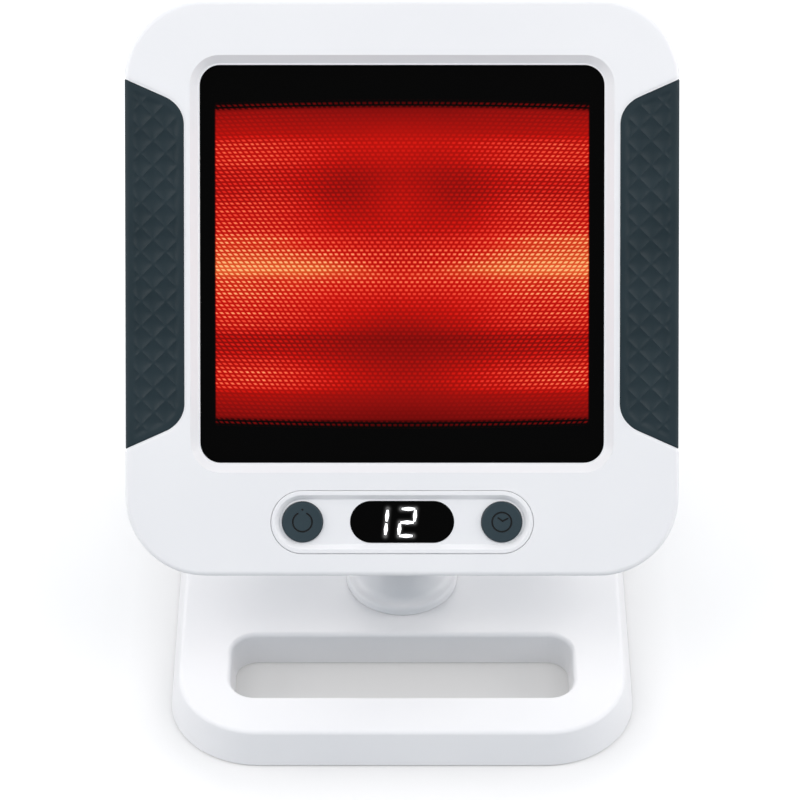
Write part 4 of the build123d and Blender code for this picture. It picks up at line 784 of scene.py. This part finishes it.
def quilted_sheet():
    """The flat sheet: a turned grid, cut to the grip's outline and along its rolled edge."""
    cell = QUILT_DIAGONAL / sqrt(2)
    faces = QUILT_CELLS * CELL_FACES
    sheet = bmesh.new()
    bmesh.ops.create_grid(sheet, x_segments=faces, y_segments=faces, size=QUILT_CELLS * cell / 2)
    turn = Matrix.Translation((QUILT_CENTRE, 0, 0)) @ Matrix.Rotation(pi / 4, 4, "Z")
    bmesh.ops.transform(sheet, matrix=turn, verts=sheet.verts)
    mirrored = [(Vector((point.x, -point.y)), Vector((out.x, -out.y))) for point, out in cuts if out.y]
    for point, outward in cuts + mirrored:
        for inset, clear in ((0.0, True), (ROLL_CUT, False), (EDGE_ROLL, False)):
            cut_sheet(sheet, point - inset * outward, outward, clear)
    return sheet


def grip(name, side):
    """One grip cover, on the left with side -1 and on the right with side 1."""
    sheet = quilted_sheet()
    for bend_line in (flat_run, flat_run + bend_run / 3, flat_run + 2 * bend_run / 3, flat_run + bend_run):
        cut_sheet(sheet, (bend_line, 0), (1, 0))
    for vertex in sheet.verts:
        run, up = vertex.co.x, vertex.co.y
        vertex.co = wrap(run, up, quilt_height(run, up))
    bmesh.ops.recalc_face_normals(sheet, faces=sheet.faces)
    if sum(face.normal.z for face in sheet.faces) < 0:
        bmesh.ops.reverse_faces(sheet, faces=sheet.faces)
    bmesh.ops.solidify(sheet, geom=sheet.faces[:], thickness=GRIP_WALL)
    matrix = head_axes @ Matrix.Scale(side, 4, (1, 0, 0))
    return finish_piece(name, sheet, matrix, "head", grip_slate, sharp_deg=30.0)


left = grip("left_grip_cover", -1)
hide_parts("left_grip")
right = grip("right_grip_cover", 1)
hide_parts("right_grip")

# %% [markdown]
# ## Lit digits
# A bar of a digit is a long, thin, six-sided plate. Six points could be placed by hand for each bar. It is
# simpler to start from a six-sided disc that stands on a corner and to pull its two halves apart: the bar
# is then widest in its middle and half as wide at its blunt ends. A real bar keeps its width and ends in
# points, which the same disc would give if it first got a quarter turn.

# %% Bars of the digits
UPRIGHT_GAP = 0.45
LEVEL_GAP = 0.25
BAR_SEAT = -1.98
BAR_RISE = 0.05


def digit_bars(name, digit):
    """All lit bars of one digit as one piece, standing a hair proud of the window."""
    bars = bmesh.new()
    for bar in DIGIT_BARS[digit]:
        start, end = bar_ends(bar, DIGIT_CENTRES[digit])
        one = bmesh.new()
        bmesh.ops.create_circle(one, cap_ends=True, segments=6, radius=BAR_WIDTH / 2)
        reach = max(vertex.co.x for vertex in one.verts)
        gap = UPRIGHT_GAP if bar in "bcef" else LEVEL_GAP
        pull = (end - start).length / 2 - gap - reach
        for way in (-1, 1):
            half = [vertex for vertex in one.verts if vertex.co.x * way > 1e-6]
            bmesh.ops.translate(one, vec=(way * pull, 0, 0), verts=half)
        raised = bmesh.ops.extrude_face_region(one, geom=one.faces[:])["geom"]
        lifted = [item for item in raised if isinstance(item, bmesh.types.BMVert)]
        bmesh.ops.translate(one, vec=(0, 0, BAR_RISE), verts=lifted)
        angle = atan2(end.y - start.y, end.x - start.x)
        middle = (start + end) / 2
        place = Matrix.Translation((middle.x, middle.y, BAR_SEAT)) @ Matrix.Rotation(angle, 4, "Z")
        bmesh.ops.transform(one, matrix=place, verts=one.verts)
        part = bpy.data.meshes.new("bar")
        one.to_mesh(part)
        one.free()
        bars.from_mesh(part)
        bpy.data.meshes.remove(part)
    return finish_piece(name, bars, head_axes, "head", led_white)


digit_bars("digit_one", "one")
digit_bars("digit_two", "two")

# %% [markdown]
# ## Floor, light and camera
# The lamp stands on a plain pale floor that melts into a white background. A white sheet under a soft light
# is never quite white, so the floor adds a little light of its own where the camera, a mirror or glass looks
# at it: least close to the lamp, where its contact shadow has to stay, and more with distance, which is
# counted in rounded squares, as the base is one. The world is plain white to those same rays and a softer,
# bluer surround for all that it lights. Slightly warm soft lights stand at both sides, high in front and
# behind. The glossy window mirrors what is in front of it half-way up, so no light stands there. The
# camera looks down at 40 degrees from afar, nearly square to the face.

# %% Rays that show a background
def seen_ray(material):
    """1 for a ray from the camera, a mirror or glass, 0 for one that only carries light about."""
    rays = add(material, "ShaderNodeLightPath").outputs
    seen = do(material, "MAXIMUM", rays["Is Camera Ray"], rays["Is Glossy Ray"])
    return do(material, "MAXIMUM", seen, rays["Is Transmission Ray"])


# %% Floor
FLOOR_HALF = 12.0
BASE_MIDDLE_Y = -0.009
SQUARENESS = 4.0
FLOOR_CLOUD = 0.04
GLOW_REACH = 1.4
# Painted shade: the floor's own colour is darker under the base, where it lies in the lamp's shade.
FLOOR_SHADED_TONE = [(0.088, 0.35), (0.103, 0.6)]
FLOOR_GLOW = [(0.088, 0.28), (0.104, 0.2), (0.13, 0.355), (0.2, 0.44), (GLOW_REACH, 0.9)]
floor_mesh = bmesh.new()
bmesh.ops.create_grid(floor_mesh, x_segments=1, y_segments=1, size=FLOOR_HALF)
floor_data = bpy.data.meshes.new("floor")
floor_mesh.to_mesh(floor_data)
floor_mesh.free()
floor = bpy.data.objects.new("floor", floor_data)
bpy.context.scene.collection.objects.link(floor)
floor_pale = new_material("floor_pale", (0.6, 0.6, 0.6), 0.9, Specular_IOR_Level=0.0)
floor_x, floor_y, _ = add(floor_pale, "ShaderNodeSeparateXYZ", {0: place_of(floor_pale)}).outputs
aside = do(floor_pale, "POWER", do(floor_pale, "ABSOLUTE", floor_x), SQUARENESS)
from_middle = do(floor_pale, "ABSOLUTE", do(floor_pale, "SUBTRACT", floor_y, BASE_MIDDLE_Y))
ahead = do(floor_pale, "POWER", from_middle, SQUARENESS)
from_lamp = do(floor_pale, "POWER", do(floor_pale, "ADD", aside, ahead), 1 / SQUARENESS)
from_lamp = do(floor_pale, "MULTIPLY", from_lamp, 1 / GLOW_REACH)
glow = ramp(floor_pale, from_lamp, [(reach / GLOW_REACH, level) for reach, level in FLOOR_GLOW])
# Painted shade: the floor colour drops under the base, so less light bounces up into the hand slot.
tone = ramp(floor_pale, from_lamp, [(reach / GLOW_REACH, level) for reach, level in FLOOR_SHADED_TONE])
cloud = noise(floor_pale, scale=3.0)
cloud = do(floor_pale, "MULTIPLY_ADD", cloud, FLOOR_CLOUD, 1 - FLOOR_CLOUD / 2)
clouded = add(floor_pale, "ShaderNodeVectorMath", {0: tone, 1: cloud}, operation="MULTIPLY")
wire(floor_pale, "Base Color", clouded.outputs[0])
wire(floor_pale, "Emission Color", glow)
wire(floor_pale, "Emission Strength", seen_ray(floor_pale))
floor.data.materials.append(floor_pale)
print("floor of", 2 * FLOOR_HALF, "m")

# %% World
SURROUND = 0.446
SURROUND_COLOUR = (0.73, 0.865, 1.0, 1)
world = bpy.data.worlds.new("surround")
bpy.context.scene.world = world
world.use_nodes = True
pale = world.node_tree.nodes["Background"]
pale.inputs["Color"].default_value = SURROUND_COLOUR
pale.inputs["Strength"].default_value = SURROUND
white = add(world, "ShaderNodeBackground", {"Color": (1, 1, 1, 1)})
both = add(world, "ShaderNodeMixShader", {0: seen_ray(world), 1: pale.outputs[0], 2: white.outputs[0]})
world.node_tree.links.new(both.outputs[0], world.node_tree.nodes["World Output"].inputs["Surface"])

# %% Lamps
LAMP_AIM = Vector((0, 0, 0.12))
LAMP_DISTANCE = 1.6
LAMP_COLOUR = (1.0, 0.945, 0.915)


def soft_light(name, aside, elevation, width, height, watts):
    """A rectangle of light aimed at the lamp, its elevation counted from the horizon in front."""
    light = bpy.data.lights.new(name, "AREA")
    light.shape = "RECTANGLE"
    light.size = width
    light.size_y = height
    light.energy = watts
    light.color = LAMP_COLOUR
    aside, elevation = radians(aside), radians(elevation)
    toward = Vector((sin(aside) * cos(elevation), -cos(aside) * cos(elevation), sin(elevation)))
    holder = bpy.data.objects.new(name, light)
    holder.location = LAMP_AIM + LAMP_DISTANCE * toward
    holder.rotation_euler = toward.to_track_quat("Z", "Y").to_euler()
    bpy.context.scene.collection.objects.link(holder)


soft_light("low_back", 0, 150, 1.6, 0.6, 7.5)
for side in (-1, 1):
    soft_light("high_front", side * 50, 48, 0.9, 0.6, 5.9)
    soft_light("high_side", side * 90, 60, 1.2, 0.7, 2.4)
    soft_light("low_side", side * 90, 25, 1.2, 0.5, 8.8)
print("lights:", len(bpy.data.lights))

# %% Camera
LOOK_DOWN = radians(40)
CAMERA_BACK = 1.6464
CAMERA_UP = 0.0995
CAMERA_LEFT = -0.00095
LENS_MM = 152.3
look = Vector((0, cos(LOOK_DOWN), -sin(LOOK_DOWN)))
above = Vector((0, sin(LOOK_DOWN), cos(LOOK_DOWN)))
camera_data = bpy.data.cameras.new("camera")
camera_data.lens = LENS_MM
camera_data.sensor_width = 36.0
camera = bpy.data.objects.new("camera", camera_data)
swivel_place = Vector((CAMERA_LEFT, pivot.y, 0))
camera.location = swivel_place - CAMERA_BACK * look + CAMERA_UP * above
camera.rotation_euler = (pi / 2 - LOOK_DOWN, 0, 0)
bpy.context.scene.collection.objects.link(camera)
bpy.context.scene.camera = camera
bpy.context.scene.view_settings.view_transform = "Standard"
print("camera at", [round(value, 3) for value in camera.location])
